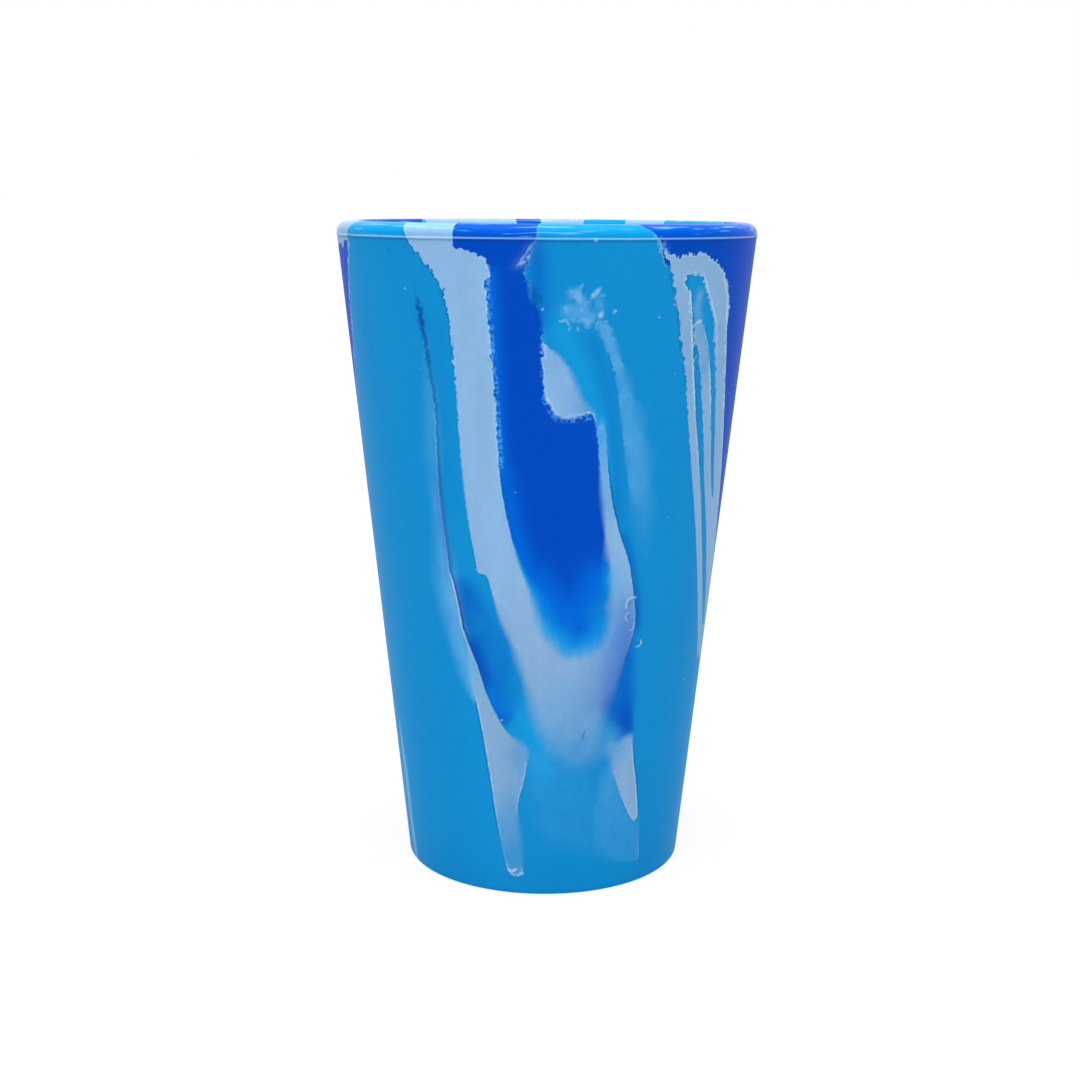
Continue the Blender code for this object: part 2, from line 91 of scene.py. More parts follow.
# The streaks. An outline's points are degrees round from the front and percent of the height to
# the parting line, where 103 is the lip's crest. A fade softens the edge, and a thin place lets
# what is under it show: each has a place, a reach in millimetres and a width or a strength
streaks = [
    {
        "node": "front_pale_sweep", "layer": "paleUnder",
        "outline": [
            (-41, 107), (-37.6, 100.1), (-34.1, 97.8), (-30.1, 95.4), (-27.4, 92.9), (-26.4, 90.4),
            (-25.6, 87), (-25, 80), (-24.8, 72), (-24.2, 65), (-23, 58.5), (-21.6, 54),
            (-20.8, 51.8), (-18, 51.3), (-16.4, 48.6), (-14, 44.5), (-9.8, 40), (-6.8, 35.5),
            (-3.5, 30), (0, 26.8), (4, 24.8), (10, 24), (17, 25.5), (22, 30), (26.5, 36.5),
            (30.5, 43), (29.3, 47.8), (26.4, 53.4), (22.6, 58), (19.6, 63), (17.7, 68.5),
            (16, 74.2), (10, 70), (0, 64), (-8, 72), (-10, 90), (-14, 99), (-18, 102), (-20, 107),
        ],
        "fades": [((-12, 42), 9, 0.9), ((-4, 30), 9, 2.6), ((-8.5, 38), 5, 1.8),
                  ((10, 24), 15, 4.2), ((23, 29), 8, 2.2), ((-24, 64), 12, 0.4),
                  ((-25, 78), 8, 0.22)],
        "thin": [((11, 25), 12, 0.5), ((16.4, 72.5), 7, 0.85), ((28, 40), 8, 0.3),
                 ((18.5, 49), 6, 0.4), ((18, 63), 5, 0.3)],
    },
    {
        "node": "front_pale_patch", "layer": "paleUnder",
        "outline": [
            (-2, 85.3), (0.5, 85), (2.6, 84.3), (4.8, 83), (7, 81), (9.3, 78.2), (11.5, 76.3),
            (13, 74.9), (9, 73), (3, 73), (-3, 78),
        ],
        "fades": [((9, 80), 6, 1.1), ((4, 84.5), 3, 0.8), ((12.5, 76), 4, 1.4)],
        "thin": [((12, 76.5), 4, 0.45), ((-2, 83), 4, 0.15)],
    },
    {
        "node": "front_cobalt_tongue", "layer": "cobalt",
        "outline": [
            (-21.5, 107), (-23.6, 100.2), (-23.4, 98.7), (-19.4, 98.3), (-17.1, 97.6),
            (-15.2, 96.8), (-14.3, 94.9), (-15.6, 93.8), (-15.3, 91.7), (-15.1, 89.2),
            (-14.8, 86.3), (-14.3, 82), (-13.8, 77.6), (-13.4, 71), (-12.6, 64.5), (-9.9, 57.5),
            (-6.8, 53), (-2.8, 48.8), (1.2, 45.2), (6, 42.6), (11, 41.3), (15.6, 42.2),
            (18.4, 46.6), (19.3, 52), (18.2, 57.5), (16.6, 63), (15.2, 69), (14, 73.5),
            (12.2, 75.6), (7, 75), (2.9, 75.5), (0.3, 77.9), (-0.8, 81), (-1.1, 85), (-1.2, 88),
            (-1.8, 90.2), (-3.6, 91.3), (-4.6, 92.6), (-4.2, 93.5), (-5.6, 94.5), (-5.1, 97),
            (-4, 98.9), (-2.8, 100), (-2.2, 103), (-2, 107),
        ],
        "fades": [((10, 42), 13, 5.6), ((-6, 51), 7, 1.1), ((18.5, 51), 8, 1.9), ((17, 62), 8, 0.9),
                  ((-2.6, 90), 6, 0.7), ((4, 75), 5, 0.5)],
    },
    {
        "node": "front_cobalt_fold_left", "layer": "cobalt",
        "outline": [
            (-29.3, 49.9), (-27.8, 45.7), (-27, 43), (-24.8, 40), (-22.5, 37.2), (-20.2, 33.8),
            (-17.8, 31.2), (-14.5, 28.6), (-11.8, 29), (-9.3, 32.2), (-9.3, 36.5), (-12, 41.5),
            (-17, 46), (-23.5, 49.8),
        ],
        "fades": [((-10, 34), 8, 3.2), ((-16, 45), 9, 3.6), ((-24, 50), 6, 2.6),
                  ((-11, 29.5), 3.5, 2)],
        "thin": [((-18, 38), 24, 0.64)],
    },
    {
        "node": "front_pale_drip_left", "layer": "paleOver",
        "outline": [
            (-26.2, 40.6), (-24.3, 38.5), (-22.2, 35.7), (-19.9, 32.6), (-17.5, 30.1),
            (-14.4, 27.8), (-11, 26.1), (-7.6, 25.2), (-5.4, 24), (-5.9, 21.9), (-7.2, 18.8),
            (-9.2, 15.6), (-9.4, 12), (-8.6, 9), (-8.2, 6), (-7.9, 4), (-9.4, 3.1), (-12.2, 3.2),
            (-13.9, 4), (-15.7, 7.4), (-17.9, 13.1), (-19.5, 18.8), (-21.4, 25.3), (-23.2, 30.3),
            (-25, 35),
        ],
        "fades": [((-7.5, 9), 6, 1.4), ((-7.5, 25), 4, 1.2), ((-24.8, 35), 5, 1)],
        "thin": [((-10, 8), 11, 0.5), ((-11, 5.5), 6, 0.6), ((-6.5, 23), 4.5, 0.5),
                 ((-25, 37.5), 6, 0.45), ((-10, 14), 6, 0.25)],
    },
    {
        "node": "front_pale_drip_right", "layer": "paleUnder",
        "outline": [
            (23.4, 24.4), (27.2, 24.6), (30, 25.6), (32.8, 25.6), (33.7, 23.5), (34.8, 21),
            (37.2, 16.4), (39, 12.3), (38.6, 11), (36.6, 11.1), (32.7, 13.6), (28.4, 17.5),
            (25.4, 20.8),
        ],
        "fades": [((24.5, 23.5), 5, 1.6), ((30, 26), 4, 1), ((29, 17), 5, 0.5)],
        "thin": [((23.5, 23.5), 5, 0.55)],
    },
    {
        "node": "front_cobalt_fold_right", "layer": "cobalt",
        "outline": [
            (29.3, 43.5), (30.8, 38), (31.8, 33), (32.6, 28.5), (32.6, 26), (29, 25.8), (25, 27.5),
            (21.5, 30.5), (23.5, 34.5), (26.5, 38.5),
        ],
        "fades": [((23.5, 33.5), 10, 3.2), ((28, 41), 7, 2.8), ((26, 26.5), 6, 2.6)],
        "thin": [((29, 42), 7, 0.6), ((23, 34.5), 8, 0.5)],
    },
    {
        "node": "side_cobalt_band", "layer": "cobalt",
        "outline": [
            (21.5, 107), (23.5, 103), (28.7, 100.1), (33, 96), (45, 95), (53, 91), (57, 84),
            (61, 75), (65, 67), (70, 59), (74, 54), (79, 53), (84, 58), (88, 67), (93, 80),
            (99, 92), (104, 100), (107, 107),
        ],
        "fades": [((79, 53), 10, 1.5), ((96, 86), 14, 1)],
    },
    {
        "node": "side_pale_hook", "layer": "paleOver",
        "outline": [
            (28.8, 100), (30.3, 98.9), (32, 98), (35.3, 97.5), (38.3, 98.1), (40.1, 97.7),
            (43, 98.2), (46.5, 97.3), (50.3, 96.5), (53.8, 95.1), (56.8, 93.3), (58.7, 90.8),
            (59.3, 88.4), (59.6, 85.4), (60.6, 82.3), (63.1, 77.5), (65.6, 72), (69.7, 66.2),
            (73, 59.7), (76.5, 53.5), (80.5, 47), (84.5, 41), (88, 34), (86.5, 30), (82, 31.5),
            (77, 34), (71.5, 34.5), (67, 39.3), (62, 45.9), (57, 53.1), (52, 60.8), (48, 67.3),
            (44.5, 74.1), (42, 80), (40.4, 83), (38.7, 85.4), (37.6, 87.6), (36.6, 89.6),
            (35.1, 91), (35.5, 92), (34.4, 93.7), (33, 96), (31, 98),
        ],
        "fades": [((84, 33), 9, 1.6)],
        "thin": [((84, 36), 12, 0.35), ((49.5, 82), 4.5, 0.3), ((45.5, 87), 3, 0.35)],
    },
    {
        "node": "side_cyan_core", "layer": "cyanOver",
        "outline": [
            (38.1, 93.4), (38.4, 94.8), (40.3, 95.1), (43, 95), (44.8, 94.6), (45.3, 93.4),
            (47.8, 91.7), (50.4, 89.3), (52.1, 86.8), (53.6, 84.2), (54.7, 81.5), (56.9, 78),
            (59.2, 72.5), (62, 66.3), (65, 61), (63, 61.8), (60, 66), (57.6, 70.5), (55.6, 74.5),
            (54, 78), (52.3, 81.4), (49.8, 83.8), (47.6, 86), (47.3, 87.6), (45, 88.4), (43.4, 88),
            (43.8, 86), (45.4, 84), (48, 80.2), (50.2, 76), (52.4, 72), (54.6, 67.8), (57, 63.3),
            (60, 59.2), (63.5, 54.7), (67, 50), (70.5, 46), (73.5, 42.3), (75, 39.5), (72, 40),
            (68.5, 43.5), (65, 47.5), (62, 51.7), (59, 56), (56, 61), (53, 65.5), (50, 70.3),
            (47.7, 74.3), (46, 78.3), (44.1, 82.9), (42.2, 87.1), (41.3, 89.8), (40.5, 92.4),
        ],
        "fades": [((47, 87), 3, 0.6)],
    },
    {
        "node": "edge_cobalt_wedge", "layer": "cobalt",
        "outline": [
            (-65.6, 99.2), (-67.8, 95.3), (-70, 91.6), (-71.4, 87.6), (-74, 82), (-82, 74),
            (-89, 69), (-95, 64), (-103, 58), (-110, 56), (-117, 61), (-123, 72), (-128, 84),
            (-132, 94), (-134, 100), (-135, 107), (-103, 107), (-97, 103), (-90, 100.5),
            (-80, 99.5), (-71, 99.8),
        ],
        "fades": [((-106, 58), 14, 3.5), ((-128, 84), 12, 1.2)],
    },
    {
        "node": "edge_pale_tooth", "layer": "paleOver",
        "outline": [
            (-64.5, 107), (-65.4, 100), (-68.5, 99.2), (-71.8, 98.1), (-75.5, 98.8), (-82, 98.2),
            (-90, 98.6), (-96, 100.5), (-99, 107),
        ],
    },
    {
        "node": "back_pale_sweep", "layer": "paleUnder",
        "outline": [
            (-138, 107), (-138.5, 99), (-140, 90), (-143, 78), (-148, 66), (-152, 52), (-149, 40),
            (-143, 30), (-147, 23), (-156, 25), (-164, 35), (-171, 47), (-175, 60), (-174, 78),
            (-172.5, 94), (-172, 107),
        ],
        "fades": [((-148, 26), 11, 3.2), ((-151, 48), 9, 0.8)],
        "thin": [((-148, 27), 12, 0.45)],
    },
    {
        "node": "back_pale_ribbon", "layer": "paleUnder",
        "outline": [
            (-176, 107), (-177, 95), (-180, 80), (-184, 66), (-187, 52), (-188, 40), (-191, 29),
            (-198, 21), (-205, 23), (-208, 33), (-206, 46), (-203, 58), (-199, 72), (-195, 84),
            (-192, 95), (-191, 107),
        ],
        "fades": [((-199, 22), 9, 2.8), ((-206, 44), 9, 0.7)],
        "thin": [((-199, 23), 10, 0.4)],
    },
    {
        "node": "back_cobalt_tongue", "layer": "cobalt",
        "outline": [
            (-170, 107), (-170.5, 97), (-171.5, 84), (-173, 70), (-172, 57), (-170, 46), (-173, 38),
            (-180, 35), (-187, 39), (-190, 50), (-187.5, 64), (-183.5, 78), (-180, 90), (-178, 99),
            (-177, 107),
        ],
        "fades": [((-180, 37), 11, 4), ((-171, 50), 6, 1)],
    },
    {
        "node": "back_pale_drip", "layer": "paleUnder",
        "outline": [
            (-207, 107), (-208, 97), (-210, 84), (-213, 72), (-215, 60), (-219, 54), (-223, 60),
            (-223, 72), (-221, 84), (-220, 95), (-221, 107),
        ],
        "fades": [((-219, 57), 8, 2.4)],
        "thin": [((-219, 57), 8, 0.4)],
    },
    {
        "node": "back_cobalt_fold", "layer": "cobalt",
        "outline": [
            (-239, 50), (-235, 57), (-230, 52), (-226, 40), (-223, 28), (-225, 18), (-230, 14),
            (-235, 20), (-239, 32), (-241, 42),
        ],
        "fades": [((-235, 55), 8, 2.6), ((-226, 36), 7, 1.6)],
        "thin": [((-235, 54), 9, 0.55)],
    },
    {
        "node": "back_pale_flare", "layer": "paleUnder",
        "outline": [
            (-108, 34), (-104, 26), (-108, 16), (-115, 9), (-124, 8), (-129, 14), (-126, 22),
            (-118, 30),
        ],
        "fades": [((-126, 15), 8, 2.2), ((-108, 33), 6, 1.8)],
        "thin": [((-124, 14), 10, 0.5)],
    },
]

# Thin veils of pale silicone in the wall. They have no thickness, so they are in the colour alone
veils = [
    {
        "outline": [
            (13.2, 88), (16.6, 84.2), (18.9, 80.5), (20.2, 77.5), (21.2, 74.5), (22.7, 70.5),
            (24.8, 65), (27.3, 60), (30, 55), (33.5, 54), (33.5, 60), (31, 67), (26.5, 75),
            (21, 82), (16.5, 88), (14, 89),
        ],
        "fades": [((15, 86), 4, 0.7), ((20, 78), 5, 0.4), ((32, 69), 4.5, 3.2),
                  ((28, 75), 3.6, 2.8), ((24, 80.5), 2.8, 2), ((20, 85), 2.4, 1.2),
                  ((33, 60), 6, 3.4), ((26, 61), 4, 0.8)],
        "thin": [((22, 74), 45, 0.75), ((31, 58), 9, 0.6), ((32.5, 54.5), 7, 0.9)],
    },
    {
        "outline": [
            (24.3, 21), (20, 16), (17.5, 12), (19.5, 8.5), (22.5, 6.6), (28.4, 5.3), (33.6, 4.4),
            (38, 4), (41.8, 4.2), (40.8, 8), (39.3, 12), (36, 13.5), (30, 18),
        ],
        "fades": [((17, 13), 12, 4.5), ((28, 5), 8, 1), ((36, 4.2), 4, 0.6)],
        "thin": [((30, 9), 50, 0.88)],
    },
    {
        "outline": [
            (-70.5, 24), (-67, 15), (-67.3, 7), (-66, 0.6), (-70, 0.6), (-71.5, 8), (-71.5, 16),
        ],
        "fades": [((-69, 10), 20, 0.7)],
        "thin": [((-69, 10), 30, 0.45)],
    },
    {
        "outline": [
            (-33.4, 86), (-32.8, 79.6), (-32.1, 74.7), (-32.4, 66), (-31.7, 57), (-30.4, 50.5),
            (-28.3, 45.7), (-27.5, 43), (-25.2, 40), (-22.9, 37), (-21.5, 34), (-23.5, 31.5),
            (-26.5, 34), (-30, 38), (-33, 42), (-34.8, 48), (-35.4, 56), (-35.8, 66), (-35.4, 76),
            (-34.4, 84),
        ],
        "fades": [((-36.5, 50), 15, 3.4), ((-37, 72), 14, 2.6), ((-30, 36), 9, 2.6),
                  ((-34, 85), 5, 1.2)],
        "thin": [((-34, 66), 27, 0.84), ((-34, 83), 9, 0.85), ((-29, 40), 10, 0.5),
                 ((-34, 45), 7, 0.3)],
    },
    {
        "outline": [
            (-5, 24), (-4.5, 16), (-2, 12), (2, 9.5), (9, 8), (17, 8), (20, 13), (18, 19), (10, 20),
            (3, 22),
        ],
        "fades": [((7, 14), 30, 3)],
        "thin": [((7, 14), 90, 0.95)],
    },
    {
        "outline": [
            (-109, 34), (-112, 44), (-115, 55), (-119, 58), (-122, 50), (-124, 38), (-121, 26),
            (-114, 26),
        ],
        "fades": [((-117, 56), 14, 3.4), ((-110, 40), 9, 1.2), ((-124, 36), 9, 2.6)],
        "thin": [((-117, 42), 40, 0.7)],
    },
    {
        "outline": [
            (-148, 22), (-144, 14), (-147, 6), (-156, 4), (-164, 8), (-166, 18), (-162, 28),
            (-156, 25),
        ],
        "fades": [((-162, 16), 12, 3.4), ((-150, 6), 8, 1.4)],
        "thin": [((-155, 14), 40, 0.8)],
    },
    {
        "outline": [
            (-234, 88), (-231, 76), (-230, 64), (-233, 58), (-238, 62), (-239, 74), (-237, 86),
        ],
        "fades": [((-238, 70), 12, 2.8), ((-233, 88), 7, 1.4)],
        "thin": [((-234, 74), 40, 0.74)],
    },
]

# Edges with a line of painted shade and one of painted highlight side by side, where the wall steps
# a little
edges = {
    "dripLeft": [(-25, 35), (-21.4, 25.3), (-17.9, 13.1), (-13.8, 3.9)],
    "dripRight": [(33.7, 23.5), (37.2, 16.4), (41.8, 4.2)],
    "hook": [(56.8, 93.3), (59.3, 88.4), (60.6, 82.3), (65.6, 72), (73, 60)],
    "core": [(38.2, 94), (41.4, 89.8), (44.2, 82.9), (46.1, 78.3), (52, 67)],
}

# Soft strokes of colour. Each has its route, its half width in millimetres and its strength
strokes = {
    "cobaltUnder": [
        ([(-32.3, 66), (-32.2, 58), (-31, 52)], 0.9, 0.35),
        ([(-3.2, 99), (-2.2, 96), (-2.2, 92.5), (-1.2, 89)], 2, 0.5),
        ([(12.5, 86), (15.5, 80), (18, 74), (20, 66), (22, 60)], 1.6, 0.2),
        ([(-30, 88), (-29, 75), (-28.5, 62)], 2.5, 0.1),
        ([(24.3, 57.6), (27.8, 53.4), (30.6, 47.8), (31.6, 43)], 0.8, 0.5),
        ([(-212, 50), (-214, 38), (-212, 28)], 2.6, 0.3),
        ([(-96, 62), (-99, 48), (-102, 38)], 3, 0.25),
        ([(-234, 54), (-237, 64), (-240, 78)], 2.2, 0.4),
        ([(-229, 17), (-227, 10)], 1.6, 0.35),
    ],
    "cobaltOver": [
        ([(27.5, 45), (24, 39), (21, 32)], 3.8, 0.42),
        ([(-28.6, 47.6), (-27, 43), (-25.4, 40.8)], 1.6, 0.5),
        ([(-24.6, 39.9), (-22.4, 37.4), (-20.2, 33.8)], 2.7, 0.88),
        ([(-20.2, 33.8), (-17.8, 31.2), (-15.5, 29.6)], 2.7, 0.68),
        ([(-11, 61), (-8, 55.5), (-4, 51)], 0.7, 0.25),
        ([(1, 83), (5, 80), (9, 77)], 3, 0.08),
    ],
    "pale": [
        ([(-7.4, 96.4), (-5.4, 97.4), (-4.2, 98.8)], 0.8, 0.12),
        ([(15.4, 74), (16.6, 70)], 0.6, 0.25),
        ([(44.2, 92.2), (43.4, 89.8), (44.6, 88.6)], 0.9, 0.4),
        ([(-30.3, 49.5), (-28.9, 45), (-27.4, 42)], 0.9, 0.3),
        ([(10.5, 22.6), (16, 23), (20.5, 24.4), (23.5, 25.6)], 2.6, 0.2),
    ],
    "frost": [
        ([(5.6, 90.2), (8.1, 89.8), (10.8, 89.2)], 1.9, 1),
        ([(6.6, 92.6), (8.4, 92), (9.6, 90.6)], 1.4, 0.9),
        ([(12.6, 92.6), (13.4, 91), (14, 89.4)], 1.2, 0.7),
        ([(-6.8, 96.2), (-4.4, 97.6)], 0.9, 0.5),
    ],
    "glow": [
        ([(-14, 95), (-13.6, 85), (-13, 75), (-12, 67)], 1.3, 0.9),
        ([(-12, 67), (-8.8, 58), (-4.5, 52)], 2, 0.85),
        ([(15.2, 75), (16.8, 70), (18.4, 65.5)], 1, 0.9),
        ([(-3, 50.5), (4, 46.5), (11, 45.5), (16.5, 51)], 4, 1),
        ([(1, 44), (6, 41), (12, 40), (17, 43)], 4.5, 1),
        ([(-19.5, 33), (-17, 31), (-14, 30.5)], 2.2, 0.8),
        ([(2, 89), (6.5, 84.5), (11, 80), (14.2, 76)], 2.1, 0.45),
        ([(-8, 29), (-3, 26), (0, 21)], 3, 0.45),
        ([(-171.5, 92), (-173, 74), (-172, 58), (-171, 46), (-178, 37)], 3.2, 0.8),
        ([(96, 84), (89, 68), (83, 57)], 3, 0.6),
        ([(-140, 32), (-144, 24), (-152, 20)], 3.4, 0.6),
    ],
    # How strong the painted shade is along these edges
    "edgeDark": [
        ([(-37.5, 100), (-34.1, 97.8), (-30.1, 95.4), (-27.4, 92.9), (-26.4, 90),
          (-25.4, 85)], 1.2, 0.8),
        ([(17.7, 68), (20, 62), (22.9, 57.6), (26.4, 53.4), (29.3, 47.8), (30.5, 43)], 1.2, 0.7),
        (edges["dripLeft"], 0.8, 0.7),
        (edges["dripRight"], 0.8, 0.7),
        (edges["hook"], 1.2, 0.9),
        ([(28.9, 99.8), (33, 96), (35.5, 91.9), (37.4, 87.8), (42, 80)], 1.2, 0.5),
        (edges["core"], 0.9, 0.9),
        ([(-15.2, 97), (-15.4, 93), (-15.1, 89.2), (-14.4, 83.5), (-13.8, 77.6)], 1, 0.7),
        ([(30, 41), (31.8, 33), (32.6, 27)], 0.8, 0.6),
    ],
    # How strong the painted highlight is along these edges
    "edgeLight": [
        (edges["dripLeft"], 0.8, 0.55),
        ([(-13.8, 3.8), (-12, 3.2), (-9.5, 3.2), (-8, 4)], 0.9, 1),
        ([(-5.4, 24), (-5.9, 21.9), (-7.2, 18.8), (-9, 16)], 0.8, 0.4),
        (edges["dripRight"], 0.8, 0.6),
        ([(38.6, 11), (32.7, 13.6), (28.4, 17.5)], 0.8, 0.35),
        ([(28.9, 99.8), (33, 98), (40, 97.8), (50.3, 96.5), (56.8, 93.3)], 1.4, 0.65),
        (edges["hook"], 1.2, 0.8),
        (edges["core"], 0.9, 0.8),
        ([(38.3, 94.8), (43, 95), (45.2, 93.5)], 0.9, 0.5),
        ([(-1.2, 85.2), (-0.8, 80.6), (0, 78.6)], 0.9, 0.5),
        ([(0.3, 77.9), (2.9, 75.2), (7, 75), (11.5, 75.4)], 1.2, 1),
        ([(-65.6, 99.2), (-67.8, 95.3), (-70, 91.6), (-71.4, 87.6), (-74, 82)], 0.9, 1),
        ([(-15.4, 96.4), (-15.4, 93), (-15.1, 89.2), (-14.4, 83.5), (-13.7, 76),
          (-13, 68)], 1.2, 0.75),
        ([(-8.5, 55.5), (-5.5, 51), (-2, 48)], 0.9, 0.6),
    ],
}

# The seam down the left, where two flows met. Each point has the half width in millimetres of its
# line of painted shade, that line's strength, and that of the painted highlight line on its left
seam = [
    ((-35.4, 91.4), 0.22, 0.6, 0), ((-35, 89.9), 0.58, 0.8, 0), ((-34.4, 87.5), 0.62, 0.76, 0),
    ((-33.8, 85.5), 0.54, 0.72, 0), ((-33.4, 83.5), 0.46, 0.64, 0), ((-32.8, 80.5), 0.42, 0.56, 0),
    ((-32, 77.2), 0.4, 0.5, 0.1), ((-31.7, 74.7), 0.34, 0.46, 0.15),
    ((-32.1, 69.2), 0.38, 0.46, 0.15), ((-32.4, 64.6), 0.5, 0.42, 0.15),
    ((-32.1, 60.5), 0.7, 0.4, 0.15), ((-31.1, 55.4), 0.7, 0.42, 0.15),
    ((-30.5, 51.5), 0.4, 0.55, 0.3), ((-29.3, 49.7), 0.22, 0.95, 0.65),
    ((-27.7, 45.7), 0.22, 0.95, 0.55), ((-27, 43), 0.24, 1, 0.6), ((-24.7, 40), 0.26, 0.95, 0.4),
    ((-22.4, 37.4), 0.24, 0.85, 0.3), ((-20.2, 33.8), 0.22, 0.75, 0.25),
    ((-17.8, 31.2), 0.2, 0.65, 0.2), ((-14.4, 28.5), 0.2, 0.6, 0.1),
]

# Flecks of frost: degrees, percent, half length and half width in millimetres, how far they lean
# to the right of upright in degrees, and strength
flecks = [
    ((8, 92.4), 1.6, 0.75, -14, 0.5), ((8.6, 93.5), 0.8, 0.36, 41, 0.55),
    ((12.5, 92.7), 1.35, 0.5, 40, 1), ((14.4, 92.3), 0.6, 0.4, 70, 0.35),
    ((4.2, 88.8), 0.9, 0.28, 80, 0.7), ((5.6, 88.5), 0.7, 0.3, -20, 0.5),
    ((6, 87.7), 0.5, 0.3, 50, 0.5), ((8.1, 87.7), 0.5, 0.3, -5, 0.5),
    ((10.6, 88.2), 0.7, 0.5, 20, 0.5), ((7.1, 88.9), 1.2, 0.36, -70, 0.35),
    ((5, 90.5), 0.8, 0.36, -20, 0.35), ((14.1, 89.6), 0.8, 0.5, 15, 1),
    ((17.7, 90.1), 0.5, 0.34, 40, 0.8), ((9, 90.3), 0.4, 0.36, 0, 0.5),
    ((10.3, 91.3), 0.8, 0.4, 70, 0.35), ((6.4, 92.6), 0.9, 0.32, -25, 0.4),
    ((10.1, 88.9), 1.2, 0.4, -80, 0.3), ((13, 88.2), 1, 0.3, 15, 0.5),
    ((-5.9, 96.8), 0.8, 0.28, 62, 1), ((-4.4, 97.6), 0.5, 0.28, 30, 0.8),
]

# Ridges and scratches, in colour alone: from, to, half width in millimetres and strength. A ridge
# is a line of painted highlight, and below zero the line is painted shade
ridges = [
    ((40.2, 92.8), (41.4, 89.8), 0.27, 1), ((41.3, 90.1), (43.8, 82.6), 0.27, 1),
    ((43.6, 83.2), (47.8, 73.6), 0.26, 1), ((47.6, 74.4), (53.4, 64.2), 0.24, 0.6),
    ((44.6, 95.2), (48.8, 91.5), 0.29, 0.7), ((48.5, 91.9), (53, 87.8), 0.29, 0.8),
    ((52.7, 88.3), (55.6, 82.2), 0.26, 0.6), ((53.2, 95.4), (57.4, 91.1), 0.32, 0.8),
    ((57.1, 91.6), (59, 86.8), 0.32, 1), ((58.8, 87.3), (62.8, 78.5), 0.29, 1),
    ((62.4, 79.3), (69.6, 65), 0.27, 1), ((42.2, 87.2), (44, 88.1), 0.29, 0.8),
    ((43.7, 88.1), (46.1, 88.2), 0.32, 0.8), ((47.1, 87.2), (51, 83.1), 0.26, 0.6),
    ((50.6, 83.6), (56, 73.2), 0.26, 0.7), ((-3.7, 99.3), (-5.2, 97.9), 0.22, 0.4),
    ((-5, 98.1), (-7.3, 96.3), 0.21, 0.4), ((-14.1, 4.2), (-12.1, 3.7), 0.32, 1),
    ((-12.4, 3.7), (-10.2, 4.3), 0.32, 1), ((-9.4, 3.3), (-7.7, 3.8), 0.29, 0.8),
    ((14.5, 27.2), (13.5, 25.8), 0.14, -0.8), ((35.2, 91.8), (36.4, 89.9), 0.34, -0.6),
    ((37, 89), (37.9, 87.7), 0.34, -0.6), ((39.6, 94.9), (38.6, 93.8), 0.2, -0.5),
    ((54.9, 88), (55.2, 86.5), 0.22, -0.4), ((-44.8, 98.6), (-43.6, 97.5), 0.2, -0.4),
    ((-3.3, 93.6), (-2.7, 90.6), 0.6, -0.6), ((-2.3, 92.6), (-1.2, 91.6), 0.45, -0.5),
    ((-2.4, 90.2), (-1.9, 87.6), 0.5, -0.5),
]

# Crescents in relief, where the right arm folded and on a nub beside it, each with a painted
# highlight on one side and painted
# shade in its hollow: degrees, percent, radius in millimetres, which way the crescent lies, in
# degrees round from the right, and strength
crescents = [
    ((29, 46.6), 1.5, 135, 1), ((28.3, 44.7), 0.9, 170, 0.8), ((29, 43.2), 0.8, -30, 0.6),
    ((32.2, 40.4), 0.8, -40, 1), ((-20.6, 52.2), 0.5, 250, 0.6),
]

# Specks that stand on the wall: degrees, percent and radius in millimetres
specks = [
    (-39.5, 92.8, 0.34), (30.7, 89.1, 0.34), (37.5, 80.9, 0.22), (-8.5, 64.1, 0.22),
    (40, 59.4, 0.22), (68, 76.7, 0.3), (59, 32.1, 0.3), (-1, 90.4, 0.4), (-14.5, 28.8, 0.35),
    (-20.9, 52.1, 0.3), (12, 99.9, 0.55),
]

# The layers from the bottom up, and the silicone that each one's streaks are made of
slots = {
    "paleUnder": "pale_silicone",
    "cobalt": "cobalt_silicone",
    "paleOver": "pale_silicone",
    "cyanOver": "cyan_silicone",
}

partingLine = cup["height"] - cup["lipHeight"]
taper = math.atan((cup["rim"] - cup["foot"]) / partingLine)
wallTop = partingLine + cup["lipStraight"]
lipRise = cup["height"] - wallTop
lipRun = math.pi / 2 * math.sqrt((lipRise ** 2 + cup["lipOuterRound"] ** 2) / 2)
crestRadius = cup["foot"] + wallTop * math.tan(taper) - cup["lipOuterRound"]
crest = wallTop + lipRun


def wallRadius(height):
    return cup["foot"] + height * math.tan(taper)


def innerRadius(height):
    return wallRadius(height) - cup["wall"] / math.cos(taper)


# Points round a corner, from the leg towards one end to the leg towards the other
def rounded(corner, first, last, radius, steps):
    toFirst = (first - corner).normalized()
    toLast = (last - corner).normalized()
    half = toFirst.angle(toLast) / 2
    centre = corner + (toFirst + toLast).normalized() * radius / math.sin(half)
    start = corner + toFirst * radius / math.tan(half) - centre
    end = corner + toLast * radius / math.tan(half) - centre
    turn = start.angle_signed(end)
    across = Vector((start.y, -start.x))
    angles = [turn * step / steps for step in range(steps + 1)]
    return [centre + start * math.cos(a) + across * math.sin(a) for a in angles]


def evenly(start, end):
    count = max(1, round((end - start).length / cup["innerStep"]))
    return [start.lerp(end, k / count) for k in range(1, count)]


